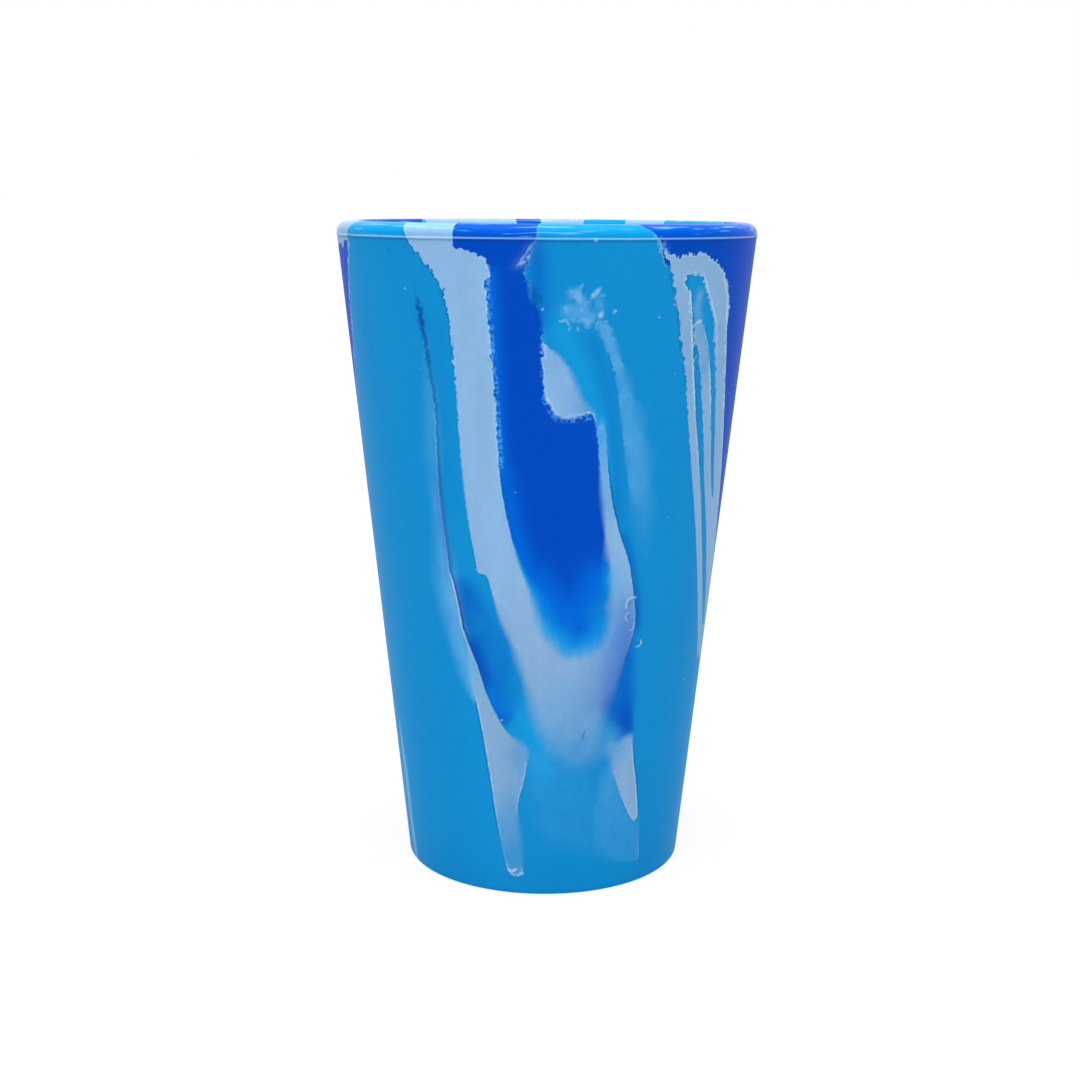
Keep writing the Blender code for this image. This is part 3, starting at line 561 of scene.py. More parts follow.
# The profile from the middle of the underside, up the outside, over the lip and down inside.
# Each point has its place on the flat sheet, where the outside's is its height
def drawProfile():
    corner = Vector((cup["foot"], 0))
    foot = rounded(corner, Vector((0, 0)), Vector((cup["rim"], partingLine)), cup["footEdge"],
                   cup["filletSteps"])
    ringInside = Vector((foot[0].x - cup["footRing"], 0))
    recess = Vector((ringInside.x - cup["recessSlope"], cup["footRecess"]))
    centre = Vector((0, cup["footRecess"]))
    below = [centre, *evenly(centre, recess)]
    below += rounded(recess, centre, ringInside, cup["softEdge"], 2)
    below += rounded(ringInside, recess, foot[0], cup["softEdge"], 2)
    below += foot[:-1]

    half = cup["partingHeight"] / 2
    start = foot[-1].y
    count = round((partingLine - half - start) / cup["rowStep"])
    outside = [start + (partingLine - half - start) * k / count for k in range(count + 1)]
    outside += [partingLine, partingLine + half, wallTop]
    outside += [wallTop + lipRun * k / cup["lipSteps"] for k in range(1, cup["lipSteps"] + 1)]
    out = []
    for place in outside:
        if place <= wallTop:
            out.append(Vector((wallRadius(place), place)))
        else:
            angle = (place - wallTop) / lipRun * math.pi / 2
            across = cup["lipOuterRound"] * math.cos(angle)
            out.append(Vector((crestRadius + across, wallTop + lipRise * math.sin(angle))))
    proud = outside.index(partingLine)
    out[proud] += Vector((math.cos(taper), -math.sin(taper))) * cup["partingProud"]

    innerStart = cup["height"] - cup["lipInnerHeight"]
    across = crestRadius - innerRadius(innerStart)
    inside = []
    for k in range(1, cup["lipSteps"] + 1):
        angle = math.pi / 2 * k / cup["lipSteps"]
        rise = cup["lipInnerHeight"] * math.cos(angle)
        inside.append(Vector((crestRadius - across * math.sin(angle), innerStart + rise)))
    floorCorner = Vector((innerRadius(cup["floor"]), cup["floor"]))
    floorCentre = Vector((0, cup["floor"]))
    fillet = rounded(floorCorner, inside[-1], floorCentre, cup["floorFillet"], cup["filletSteps"])
    inside += evenly(inside[-1], fillet[0]) + fillet
    inside += evenly(fillet[-1], floorCentre) + [floorCentre]

    points = below + out + inside
    places = list(outside)
    for before, after in zip(reversed(points[:len(below)]), reversed(points[1:len(below) + 1])):
        places.insert(0, places[0] - (after - before).length)
    for before, after in zip(points[len(places) - 1:], points[len(places):]):
        places.append(places[-1] + (after - before).length)
    return np.array(places), np.array([tuple(p) for p in points])


# Rolls flat places up into the cup: across, up, and how far under the surface
def rollUp(across, up, under):
    directions = np.gradient(profile, axis=0)
    directions /= np.linalg.norm(directions, axis=1)[:, None]
    radius = np.interp(up, profilePlaces, profile[:, 0])
    height = np.interp(up, profilePlaces, profile[:, 1])
    inR = -np.interp(up, profilePlaces, directions[:, 1])
    inZ = np.interp(up, profilePlaces, directions[:, 0])
    length = np.hypot(inR, inZ)
    radius = radius + under * inR / length
    height = height + under * inZ / length
    turn = np.radians(across / flat["degree"])
    return np.stack([radius * np.sin(turn), -radius * np.cos(turn), height], axis=1)


def toFlat(points):
    return [(angle * flat["degree"], level / 100 * partingLine) for angle, level in points]


def onWall(spot):
    across, up = toFlat([spot])[0]
    return tuple(rollUp(np.array([across]), np.array([up]), np.array([0.0]))[0])


# A closed smooth curve through an outline's points
def smoothLoop(points):
    curve = []
    count = len(points)
    for i in range(count):
        before, start, end, after = (Vector(points[(i + k) % count]) for k in (-1, 0, 1, 2))
        for step in range(flat["curveSteps"]):
            t = step / flat["curveSteps"]
            curve.append(0.5 * (
                2 * start + (end - before) * t
                + (2 * before - 5 * start + 4 * end - after) * t ** 2
                + (3 * start - before - 3 * end + after) * t ** 3
            ))
    return np.array([tuple(p) for p in curve])


def readPlaces(mesh):
    places = np.empty(len(mesh.vertices) * 3, np.float32)
    mesh.vertices.foreach_get("co", places)
    return places.reshape(-1, 3).astype(float)


def writePlaces(mesh, places):
    mesh.vertices.foreach_set("co", places.astype(np.float32).ravel())
    mesh.update()


def mode(kind):
    bpy.ops.object.mode_set(mode=kind)


def activate(obj):
    bpy.ops.object.select_all(action="DESELECT")
    obj.select_set(True)
    bpy.context.view_layer.objects.active = obj


def editAll(obj):
    activate(obj)
    mode("EDIT")
    bpy.ops.mesh.select_all(action="SELECT")


# Selects vertices or faces by a list of true and false, and stays in edit mode
def pick(obj, kind, chosen):
    activate(obj)
    bpy.context.tool_settings.mesh_select_mode = (kind == "VERT", False, kind == "FACE")
    mode("EDIT")
    bpy.ops.mesh.select_all(action="DESELECT")
    mode("OBJECT")
    items = obj.data.vertices if kind == "VERT" else obj.data.polygons
    items.foreach_set("select", chosen)
    mode("EDIT")


# Pulls out what is selected, straight up, and leaves edit mode
def extrude(depth):
    bpy.ops.mesh.extrude_region_move(TRANSFORM_OT_translate={"value": (0, 0, depth)})
    mode("OBJECT")


def layFlatSheet():
    bpy.ops.object.select_all(action="DESELECT")
    rows = len(profilePlaces) - 1
    bpy.ops.mesh.primitive_grid_add(x_subdivisions=cup["columns"], y_subdivisions=rows, size=2)
    sheet = bpy.context.object
    places = readPlaces(sheet.data)
    row = np.round((places[:, 1] + 1) / 2 * rows).astype(int)
    places[:, 0] = (flat["seam"] + (places[:, 0] - 1) / 2 * 360) * flat["degree"]
    places[:, 1] = profilePlaces[row]
    writePlaces(sheet.data, places)
    return sheet


# A blade that stands across the sheet, along an outline
def standBlade(loop):
    bpy.ops.object.select_all(action="DESELECT")
    bpy.ops.mesh.primitive_circle_add(vertices=len(loop), fill_type="NOTHING")
    blade = bpy.context.object
    height = np.full(len(loop), -flat["bladeHeight"] / 2)
    writePlaces(blade.data, np.column_stack([loop, height]))
    editAll(blade)
    extrude(flat["bladeHeight"])
    return blade


def cutSheet(sheet, loops):
    blades = [standBlade(loop) for loop in loops]
    activate(sheet)
    for blade in blades:
        blade.select_set(True)
    bpy.ops.object.join()
    pick(sheet, "VERT", np.abs(readPlaces(sheet.data)[:, 2]) > flat["tiny"])
    bpy.ops.mesh.intersect(mode="SELECT_UNSELECT", separate_mode="NONE", solver="EXACT")
    mode("OBJECT")
    pick(sheet, "VERT", np.abs(readPlaces(sheet.data)[:, 2]) > flat["tiny"])
    bpy.ops.mesh.delete(type="VERT")
    mode("OBJECT")
    places = readPlaces(sheet.data)
    places[:, 2] = 0
    writePlaces(sheet.data, places)


# How far each place is from a route, and on which side of it. A closed one is positive inside
def distanceTo(places, route, closed):
    ends = np.roll(route, -1, axis=0) if closed else route[1:]
    starts = route if closed else route[:-1]
    best = np.full(len(places), np.inf)
    side = np.ones(len(places))
    inside = np.zeros(len(places), bool)
    for a, b in zip(starts, ends):
        along = b - a
        if along @ along == 0:
            continue
        away = places - a
        t = np.clip(away @ along / (along @ along), 0, 1)
        gap = np.hypot(away[:, 0] - t * along[0], away[:, 1] - t * along[1])
        nearer = gap < best
        best[nearer] = gap[nearer]
        if closed:
            crosses = (a[1] > places[:, 1]) != (b[1] > places[:, 1])
            if crosses.any():
                where = a[0] + (places[:, 1] - a[1]) * along[0] / (along[1] or 1)
                inside ^= crosses & (places[:, 0] < where)
        else:
            side[nearer] = np.sign(along[0] * away[nearer, 1] - along[1] * away[nearer, 0])
    return best * (np.where(inside, 1, -1) if closed else side)


def near(places, route, reach):
    low, high = route.min(axis=0) - reach, route.max(axis=0) + reach
    return np.all((places > low) & (places < high), axis=1)


def falloff(places, place, reach):
    middle = np.array(toFlat([place])[0])
    gap = np.linalg.norm(places - middle, axis=1) * 1000
    return np.exp(-(gap / reach) ** 2)


# The edge distance in millimetres, the fade's half width and the strength, for one layer
def layerField(places, members):
    field = np.zeros((len(places), 3))
    field[:, 0] = -1000 * flat["reach"]
    field[:, 1] = marbling["crispEdge"]
    for member in members:
        loop = member["loop"]
        chosen = near(places, loop, flat["reach"])
        nearby = places[chosen]
        edge = 1000 * distanceTo(nearby, loop, True)
        fade = np.full(len(nearby), marbling["crispEdge"])
        for place, reach, width in member.get("fades", ()):
            fade = np.maximum(fade, width * falloff(nearby, place, reach))
        strength = np.ones(len(nearby))
        for place, reach, less in member.get("thin", ()):
            strength *= 1 - less * falloff(nearby, place, reach)
        values = np.column_stack([edge, fade, strength])
        old = field[chosen]
        better = edge > old[:, 0]
        old[better] = values[better]
        field[chosen] = old
    return field


def strokeField(places, routes):
    field = np.zeros(len(places))
    for points, width, strength in routes:
        route = np.array(toFlat(points))
        gap = 1000 * np.abs(distanceTo(places, route, False))
        field = np.maximum(field, strength * np.exp(-(gap / width) ** 2))
    return field


# The signed distance to the seam with the painted shade line's half width and strength, and the
# painted highlight line's strength
def seamField(places):
    route = np.array(toFlat([point[0] for point in seam]))
    values = np.array([point[1:] for point in seam])
    lengths = np.linalg.norm(np.diff(route, axis=0), axis=1)
    gap = np.full(len(places), marbling["seamReach"])
    along = np.zeros(len(places))
    for k, length in enumerate(lengths):
        start, step = route[k], route[k + 1] - route[k]
        here = 1000 * distanceTo(places, route[k:k + 2], False)
        better = np.abs(here) < np.abs(gap)
        gap[better] = here[better]
        along[better] = k + np.clip((places[better] - start) @ step / length ** 2, 0, 1)
    width, dark, light = (np.interp(along, np.arange(len(seam)), column) for column in values.T)
    fading = np.clip(2 - 2 * np.abs(gap) / marbling["seamReach"], 0, 1)
    return np.column_stack([gap, width, dark * fading]), light * fading


# Where the pattern of the outside goes on: over the crest it comes down the inside, more and
# more out of line with the outside, as a streak does that runs through the wall
def patternPlaces(places):
    pattern = places[:, :2].copy()
    depth = np.maximum(pattern[:, 1] - crest, 0)
    pattern[:, 1] = np.where(depth > 0, crest - depth, pattern[:, 1])
    drift = depth / partingLine
    angle = pattern[:, 0] / flat["degree"]
    sway = np.sin(np.radians(3 * angle)) + 0.6 * np.sin(np.radians(7 * angle + 40))
    across = drift * flat["driftAcross"] * np.sin(depth * flat["driftWaves"])
    pattern[:, 0] += across * flat["degree"]
    pattern[:, 1] += drift * flat["driftUp"] * sway
    return pattern


# Wisps on the two floors, which no outline reaches
def floorWisps(places):
    fromMiddle = np.minimum(places[:, 1] - profilePlaces[0], profilePlaces[-1] - places[:, 1])
    room = np.clip((cup["foot"] - wisps["clear"] - fromMiddle) / wisps["comeIn"], 0, 1)
    solid = rollUp(places[:, 0], places[:, 1], places[:, 2])
    shares = {kind: np.zeros(len(places)) for kind in wisps["kinds"]}
    for i in np.nonzero(room)[0]:
        spot = Vector(solid[i]) * wisps["scale"]
        slow = spot * wisps["bendScale"]
        bend = Vector((noise.noise(slow), noise.noise(slow + Vector(wisps["bendAt"])), 0))
        for kind, (at, *_) in wisps["kinds"].items():
            shares[kind][i] = noise.noise(spot + bend * wisps["bend"] + Vector(at))
    for kind, (at, low, most) in wisps["kinds"].items():
        shares[kind] = np.clip((shares[kind] - low) / wisps["soft"], 0, 1) * room * most
    return shares


def markSheet(sheet):
    places = readPlaces(sheet.data)
    pattern = patternPlaces(places)
    fields = {layer: layerField(pattern, [streak for streak in streaks if streak["layer"] == layer])
              for layer in slots}
    fields["veil"] = layerField(pattern, veils)
    soft = {kind: strokeField(pattern, routes) for kind, routes in strokes.items()}
    for kind, found in floorWisps(places).items():
        soft[kind] = np.maximum(soft[kind], found)
    front = np.abs(pattern[:, 0]) < flat["front"] * flat["degree"]
    front &= np.abs(places[:, 1] - crest / 2) < crest / 2
    fields["seam"], seamLight = seamField(pattern)
    threes = {
        "haze": (soft["pale"], soft["cobaltUnder"], soft["cobaltOver"]),
        # the lighter streaks, the frost, and the painted highlight beside the seam
        "accent": (soft["glow"], soft["frost"], seamLight),
        # the strengths of the painted shade and painted highlight lines along the edges, and where
        # the front's marks go
        "edgeLines": (soft["edgeDark"], soft["edgeLight"], front),
    }
    fields.update({name: np.column_stack(three) for name, three in threes.items()})
    for name, values in fields.items():
        made = sheet.data.attributes.new(name, "FLOAT_VECTOR", "POINT")
        made.data.foreach_set("vector", values.astype(np.float32).ravel())


# Which streak each face of the sheet belongs to, the last in the list being on top
def sortFaces(sheet):
    faces = sheet.data.polygons
    centres = np.empty(len(faces) * 3, np.float32)
    faces.foreach_get("center", centres)
    centres = centres.reshape(-1, 3)[:, :2].astype(float)
    owner = np.full(len(centres), -1)
    order = list(slots)
    for index in sorted(range(len(streaks)), key=lambda i: order.index(streaks[i]["layer"])):
        loop = streaks[index]["loop"]
        chosen = near(centres, loop, 0) & (centres[:, 1] < crest)
        inside = np.zeros(len(centres), bool)
        inside[chosen] = distanceTo(centres[chosen], loop, True) > 0
        owner[inside] = index
    return owner


# Lifts one streak's faces off the sheet and gives them their thickness
def liftStreak(sheet, owner, index):
    pick(sheet, "FACE", owner == index)
    bpy.ops.mesh.duplicate()
    bpy.ops.mesh.separate(type="SELECTED")
    mode("OBJECT")
    piece = next(obj for obj in bpy.context.selected_objects if obj != sheet)
    editAll(piece)
    extrude(cup["streakDepth"])
    return piece


# Rolls a piece up and dresses it. front_pale_sweep is shown by the object frontPaleSweep
def finishPiece(piece, node, slot):
    places = readPlaces(piece.data)
    writePlaces(piece.data, rollUp(places[:, 0], places[:, 1], places[:, 2]))
    first, *rest = node.split("_")
    piece.name = first + "".join(word.capitalize() for word in rest)
    piece.data.name = piece.name
    editAll(piece)
    bpy.ops.mesh.remove_doubles(threshold=flat["weld"])
    bpy.ops.mesh.normals_make_consistent(inside=False)
    mode("OBJECT")
    bpy.ops.object.shade_smooth_by_angle(angle=math.radians(30))
    piece.data.materials.clear()
    piece.data.materials.append(silicones[slot])
    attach(piece, "root")
    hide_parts(node)


marbling = {
    "crispEdge": 0.12,          # half width of a sharp edge's fade, in millimetres
    "seamReach": 6.0,           # how far from the seam its sides are told apart, in millimetres
    "raggedLow": 0.16,          # how far an edge strays, low on the wall and near the lip
    "raggedHigh": 1.25,
    "raggedFrom": 0.085,
    "raggedTo": 0.122,
    "raggedLip": 0.2,
    "roughness": 0.42,
    "lipRoughness": 0.14,
    "specular": 0.02,
    # The lines of painted shade and painted highlight along an edge
    "shadeLine": -0.26,         # where the lines along an edge run, in millimetres
    "lightLine": 0.22,
    "lineWidth": 0.19,
    "cellsPerMetre": 210,       # for the pinholes
    "warpScale": 1100,
    "warp": 0.0006,             # how far the small marks are bent, in metres
}

# Wisps on the two floors
wisps = {
    "scale": 55,
    "bendScale": 0.6,
    "bendAt": (7, 3, 5),
    "bend": 1.6,
    "soft": 0.16,
    "clear": 0.003,             # bare round the rim of a floor, in metres
    "comeIn": 0.006,
    # Each colour's place in the noise, where it begins, and its share
    "kinds": {"pale": ((2, 9, 1), 0.12, 0.85), "cobaltOver": ((31, 4, 8), 0.14, 0.9)},
}

# Noises in the silicone: feature size in metres, detail, and how far it is drawn out upwards
noises = {
    "crumble": (0.0011, 4, 1),
    "wander": (0.007, 3, 2.2),
    "streaky": (0.0014, 3, 4),
    "blotches": (0.0032, 4, 1.6),
    "grain": (0.0009, 3, 1),
    "broad": (0.035, 2, 2.5),
    "flow": (0.004, 3, 6),
    "patchy": (0.0014, 3, 1),
    "crumbling": (0.0007, 3, 1),
    "paintedGlints": (0.011, 2, 0.05),
    "peel": (0.0022, 4, 1),
    "sheen": (0.006, 3, 1),
}

# The relief of each kind of mark, in millimetres
reliefs = {
    "peel": 0.010,
    "crumbs": 0.05,
    "dark": -0.03,
    "light": 0.03,
    "dots": 0.1,
    "rings": 0.08,
}


# A screen colour of 0 to 255 as the linear values that a shader takes
def paint(red, green, blue):
    parts = [value / 255 for value in (red, green, blue)]
    return [v / 12.92 if v <= 0.04045 else ((v + 0.055) / 1.055) ** 2.4 for v in parts] + [1]


colours = {
    "cyan": paint(18, 143, 208),
    "cyanDeep": paint(12, 131, 198),
    "cyanBright": paint(20, 162, 226),
    "cobalt": paint(0, 72, 186),
    "cobaltBright": paint(0, 101, 212),
    "pale": paint(138, 182, 224),
    "paleGrey": paint(130, 167, 202),
    # faint dark grain, and the painted shade of the edge lines, seam, parting line, ridges and
    # hollows
    "navy": paint(0, 60, 140),
    # frost flecks, pinholes and specks, and the painted highlight of the edge lines, seam, parting
    # line, ridges and rings
    "frost": paint(178, 214, 240),
    "milk": paint(122, 192, 238),       # in the veils and the frost's haze
    "crumb": paint(78, 162, 234),
    # painted highlight, for the glints round the lip
    "glint": paint(140, 214, 250),
}


class Nodes:
    def __init__(self, tree):
        self.tree = tree

    def put(self, kind, inputs, **settings):
        made = self.tree.nodes.new("ShaderNode" + kind)
        for name, value in settings.items():
            setattr(made, name, value)
        for name, value in inputs.items():
            if isinstance(value, bpy.types.NodeSocket):
                self.tree.links.new(value, made.inputs[name])
            else:
                made.inputs[name].default_value = value
        return made

    def sum(self, operation, *values, clamp=False):
        inputs = dict(enumerate(values))
        return self.put("Math", inputs, operation=operation, use_clamp=clamp).outputs[0]

    def fold(self, operation, values):
        result = values[0]
        for value in values[1:]:
            result = self.sum(operation, result, value)
        return result

    def times(self, *values):
        return self.fold("MULTIPLY", values)

    def plus(self, *values):
        return self.fold("ADD", values)

    def most(self, *values):
        return self.fold("MAXIMUM", values)

    def rest(self, share):
        return self.sum("SUBTRACT", 1.0, share)

    def vector(self, operation, *values):
        inputs = dict(enumerate(values))
        return self.put("VectorMath", inputs, operation=operation).outputs

    def blend(self, factor, first, last):
        made = self.put("Mix", {0: factor, 6: first, 7: last}, data_type="RGBA")
        return made.outputs[2]

    # Colours laid one over another, each with its share
    def coat(self, colour, *coats):
        for share, over in coats:
            colour = self.blend(share, colour, over)
        return colour

    def span(self, value, low, high, start=0.0, end=1.0):
        inputs = {"Value": value, "From Min": low, "From Max": high, "To Min": start, "To Max": end}
        made = self.put("MapRange", inputs, interpolation_type="SMOOTHSTEP", clamp=False)
        return made.outputs[0]

    # Noise about zero
    def noise(self, coordinates, size, detail, stretch):
        placed = self.put("Mapping", {"Vector": coordinates, "Scale": (1, 1, 1 / stretch)})
        inputs = {"Vector": placed.outputs[0], "Scale": 1 / size, "Detail": detail}
        return self.times(self.sum("SUBTRACT", self.put("TexNoise", inputs).outputs[0], 0.5), 2.0)

    def bell(self, value, middle, width):
        away = self.sum("DIVIDE", self.sum("SUBTRACT", value, middle), width)
        return self.sum("EXPONENT", self.times(away, away, -1.0))

    def distance(self, place, spot):
        return self.vector("DISTANCE", place, onWall(spot))["Value"]

    # How far out in an oval on the wall, squared, where its rim is 1. Cycles has room for only so
    # many vectors at a time, so this is done with dot products
    def oval(self, place, spot, length, width, lean):
        angle, lean = math.radians(spot[0]), math.radians(lean)
        level = Vector((math.cos(angle), math.sin(angle), 0))
        upright = Vector((0, 0, 1))
        along = (level * math.sin(lean) + upright * math.cos(lean)) * 1000 / length
        across = (level * math.cos(lean) - upright * math.sin(lean)) * 1000 / width
        squares = 0.0
        for axis in (along, across):
            reach = self.vector("DOT_PRODUCT", place, axis)["Value"]
            away = self.sum("SUBTRACT", reach, Vector(onWall(spot)) @ axis)
            squares = self.sum("MULTIPLY_ADD", away, away, squares)
        return squares

    # A thin oval from one place on the wall to another
    def ridge(self, place, start, end, width):
        middle = tuple((a + b) / 2 for a, b in zip(start, end))
        up = (end[1] - start[1]) / 100 * partingLine
        across = math.radians(end[0] - start[0]) * wallRadius(middle[1] / 100 * partingLine)
        lean = math.degrees(math.atan2(across, up))
        return self.oval(place, middle, math.hypot(across, up) * 500, width, lean)

    # One side of a ring on the wall, for a painted highlight, and the hollow inside it, for painted
    # shade
    def crescent(self, place, spot, radius, turn):
        turn, angle = math.radians(turn), math.radians(spot[0])
        flatTowards = math.cos(turn)
        towards = (flatTowards * math.cos(angle), flatTowards * math.sin(angle), math.sin(turn))
        away = self.vector("SUBTRACT", place, onWall(spot))[0]
        side = self.vector("DOT_PRODUCT", away, towards)["Value"]
        gap = self.vector("LENGTH", away)["Value"]
        radius = radius / 1000
        ring = self.times(self.bell(gap, radius, 0.0002), self.span(side, 0.0, radius * 0.5))
        inside = self.span(side, -radius * 0.3, radius * 0.3)
        return ring, self.times(self.bell(gap, radius * 0.45, 0.0003), inside)

    def parts(self, name):
        vector = self.put("Attribute", {}, attribute_name=name).outputs["Vector"]
        return self.put("SeparateXYZ", {"Vector": vector}).outputs

    # One for the rays that the camera or a mirror sends, and nought for those that light the cup
    def seen(self):
        rays = self.put("LightPath", {}).outputs
        mirrored = self.most(rays["Is Glossy Ray"], rays["Is Transmission Ray"])
        return self.most(rays["Is Camera Ray"], mirrored)


# One marbled silicone. All three are made alike, so that a colour runs on over a piece's edge
def makeSilicone(name):
    material = bpy.data.materials.new(name)
    material.use_nodes = True
    nodes = Nodes(material.node_tree)
    shader = material.node_tree.nodes["Principled BSDF"]
    place = nodes.put("TexCoord", {}).outputs["Object"]
    height = nodes.put("SeparateXYZ", {"Vector": place}).outputs[2]

    def mottle(kind):
        return nodes.noise(place, *noises[kind])

    ragged = nodes.span(height, marbling["raggedFrom"], marbling["raggedTo"],
                        marbling["raggedLow"], marbling["raggedHigh"])
    calm = nodes.span(height, partingLine - 0.003, partingLine + 0.0005, 1.0, marbling["raggedLip"])
    crumble = nodes.times(mottle("crumble"), nodes.times(ragged, calm))
    wander, streaky = mottle("wander"), mottle("streaky")
    blotches, grain = mottle("blotches"), mottle("grain")
    inputs = {"Vector": place, "Scale": marbling["warpScale"], "Detail": 2.0}
    bend = nodes.put("TexNoise", inputs).outputs["Color"]
    bend = nodes.put("SeparateColor", {"Color": bend}).outputs
    bend = nodes.put("CombineXYZ", {0: bend[0], 1: bend[1], 2: bend[2]}).outputs[0]
    bend = nodes.vector("SUBTRACT", bend, (0.5, 0.5, 0.5))[0]
    inputs = {0: bend, "Scale": marbling["warp"]}
    bend = nodes.put("VectorMath", inputs, operation="SCALE").outputs[0]
    warped = nodes.vector("ADD", place, bend)[0]

    # A layer's share, the distance inside its edge, and how sharp that edge is
    def layer(attribute):
        edge, fade, strength = nodes.parts(attribute)
        edge = nodes.sum("MULTIPLY_ADD", crumble, nodes.span(fade, 1.0, 0.3), edge)
        soft = nodes.plus(nodes.times(wander, 0.45), nodes.times(streaky, 0.2))
        soft = nodes.times(soft, fade, nodes.span(fade, 0.3, 1.2))
        mask = nodes.span(nodes.plus(edge, soft), nodes.times(fade, -1.0), fade)
        crisp = nodes.times(nodes.span(fade, 0.7, 0.25), nodes.span(strength, 0.0, 0.3))
        thinned = nodes.plus(1.0, nodes.times(nodes.rest(strength), blotches))
        strength = nodes.sum("MULTIPLY", strength, thinned, clamp=True)
        return nodes.times(mask, strength), edge, crisp

    paleHaze, cobaltUnder, cobaltOver = nodes.parts("haze")
    glow, frost, seamLight = nodes.parts("accent")
    edgeDark, edgeLight, front = nodes.parts("edgeLines")
    seamGap, seamWidth, seamDark = nodes.parts("seam")

    broad = nodes.times(nodes.span(mottle("broad"), -0.5, 0.5), 0.6)
    # The lip's colours are painted lighter, for the light from above that falls on it; the lighter
    # streaks elsewhere are the silicone's own
    litLip = nodes.span(height, partingLine, partingLine + cup["lipStraight"])
    glow = nodes.most(glow, nodes.times(litLip, 0.4))
    cyan = nodes.coat(colours["cyan"], (broad, colours["cyanDeep"]), (glow, colours["cyanBright"]))
    flow = nodes.times(nodes.span(mottle("flow"), -0.5, 0.5), 0.4)
    grey = nodes.plus(flow, nodes.span(height, 0.085, 0.045, 0.0, 0.5))
    pale = nodes.blend(grey, colours["pale"], colours["paleGrey"])
    greyer = nodes.blend(0.45, pale, colours["paleGrey"])
    cobalt = nodes.blend(glow, colours["cobalt"], colours["cobaltBright"])

    layers = {name: layer(name) for name in ("veil", *slots)}
    share = {name: values[0] for name, values in layers.items()}
    rising = nodes.span(nodes.sum("POWER", share["cobalt"], 0.5), 0.0, 0.75)
    giveWay = nodes.rest(nodes.times(rising, nodes.span(glow, 0.05, 0.5)))
    colour = nodes.coat(
        cyan,
        (cobaltUnder, cobalt),
        (share["veil"], colours["milk"]),
        (nodes.times(share["paleUnder"], giveWay), pale),
        (nodes.times(cobaltOver, nodes.span(seamGap, -0.15, 0.15)), cobalt),
        (share["cobalt"], cobalt),
        (share["paleOver"], greyer),
        (share["cyanOver"], cyan),
        (paleHaze, pale),
    )

    # Frost is a patchy haze with flecks in it
    frosted = nodes.most(0.0, *(
        nodes.span(nodes.oval(warped, spot, length, width, lean), 1.7, 0.1, 0.0, strength)
        for spot, length, width, lean, strength in flecks
    ))
    ruffled = nodes.plus(frost, nodes.times(nodes.plus(blotches, grain), 0.3))
    haze = nodes.plus(nodes.span(ruffled, 0.15, 0.9, 0.0, 0.16),
                      nodes.span(ruffled, 0.45, 0.85, 0.0, 0.16))
    flecked = nodes.times(nodes.times(frosted, front), nodes.span(grain, -0.6, 0.2, 0.15, 0.5))
    colour = nodes.coat(colour, (haze, colours["milk"]), (flecked, colours["frost"]))

    # Thin lines of painted shade and painted highlight along the sharp edges and the seam, for the
    # small steps there; the relief has them faintly too
    patchy = nodes.span(mottle("patchy"), -0.35, 0.35)
    dark, light, crumbs, bare = 0.0, 0.0, 0.0, 1.0
    for name, (mask, edge, crisp) in reversed(layers.items()):
        crisp = nodes.times(crisp, bare)
        bare = nodes.times(bare, nodes.rest(mask))
        lighterIn = -1 if name in ("cobalt", "cyanOver") else 1
        shadeLine = nodes.bell(edge, marbling["shadeLine"] * lighterIn, marbling["lineWidth"])
        lightLine = nodes.bell(edge, marbling["lightLine"] * lighterIn, marbling["lineWidth"])
        if name == "cobalt":
            strewn = nodes.times(nodes.bell(edge, 0.5, 0.75), crisp)
        dark = nodes.most(dark, nodes.times(shadeLine, crisp))
        light = nodes.most(light, nodes.times(lightLine, crisp))
        crumbs = nodes.most(crumbs, nodes.times(nodes.bell(edge, 0.0, 0.45), crisp))
    dark = nodes.times(dark, nodes.plus(0.12, nodes.times(edgeDark, 0.5)))
    light = nodes.times(light, nodes.plus(0.08, nodes.times(edgeLight, 0.75)),
                        nodes.span(patchy, 0.0, 0.6, 0.35, 1.0))
    torn = nodes.plus(seamGap, nodes.plus(crumble, nodes.times(grain, 0.1)))
    dark = nodes.most(dark, nodes.times(nodes.bell(torn, 0.0, seamWidth), seamDark))
    light = nodes.most(light, nodes.times(nodes.bell(torn, -0.45, 0.24), seamLight))

    # A painted highlight along the parting line, where it catches the light, and a painted shade
    # under it
    beadHighlight = nodes.bell(height, partingLine + 0.0001, 0.00016)
    under = nodes.bell(height, partingLine - 0.00035, 0.00018)
    light = nodes.most(light, nodes.times(beadHighlight, 0.4))
    dark = nodes.most(dark, nodes.times(under, 0.3))

    # The ridges as lines of painted highlight for a sign of 1, and as lines of painted shade for -1
    def paintedRidgeLines(sign):
        chosen = [ridge for ridge in ridges if ridge[3] * sign > 0]
        return nodes.times(nodes.most(0.0, *(
            nodes.span(nodes.ridge(warped, start, end, width), 2.0, 0.1, 0.0, abs(strength) * 0.75)
            for start, end, width, strength in chosen
        )), front)
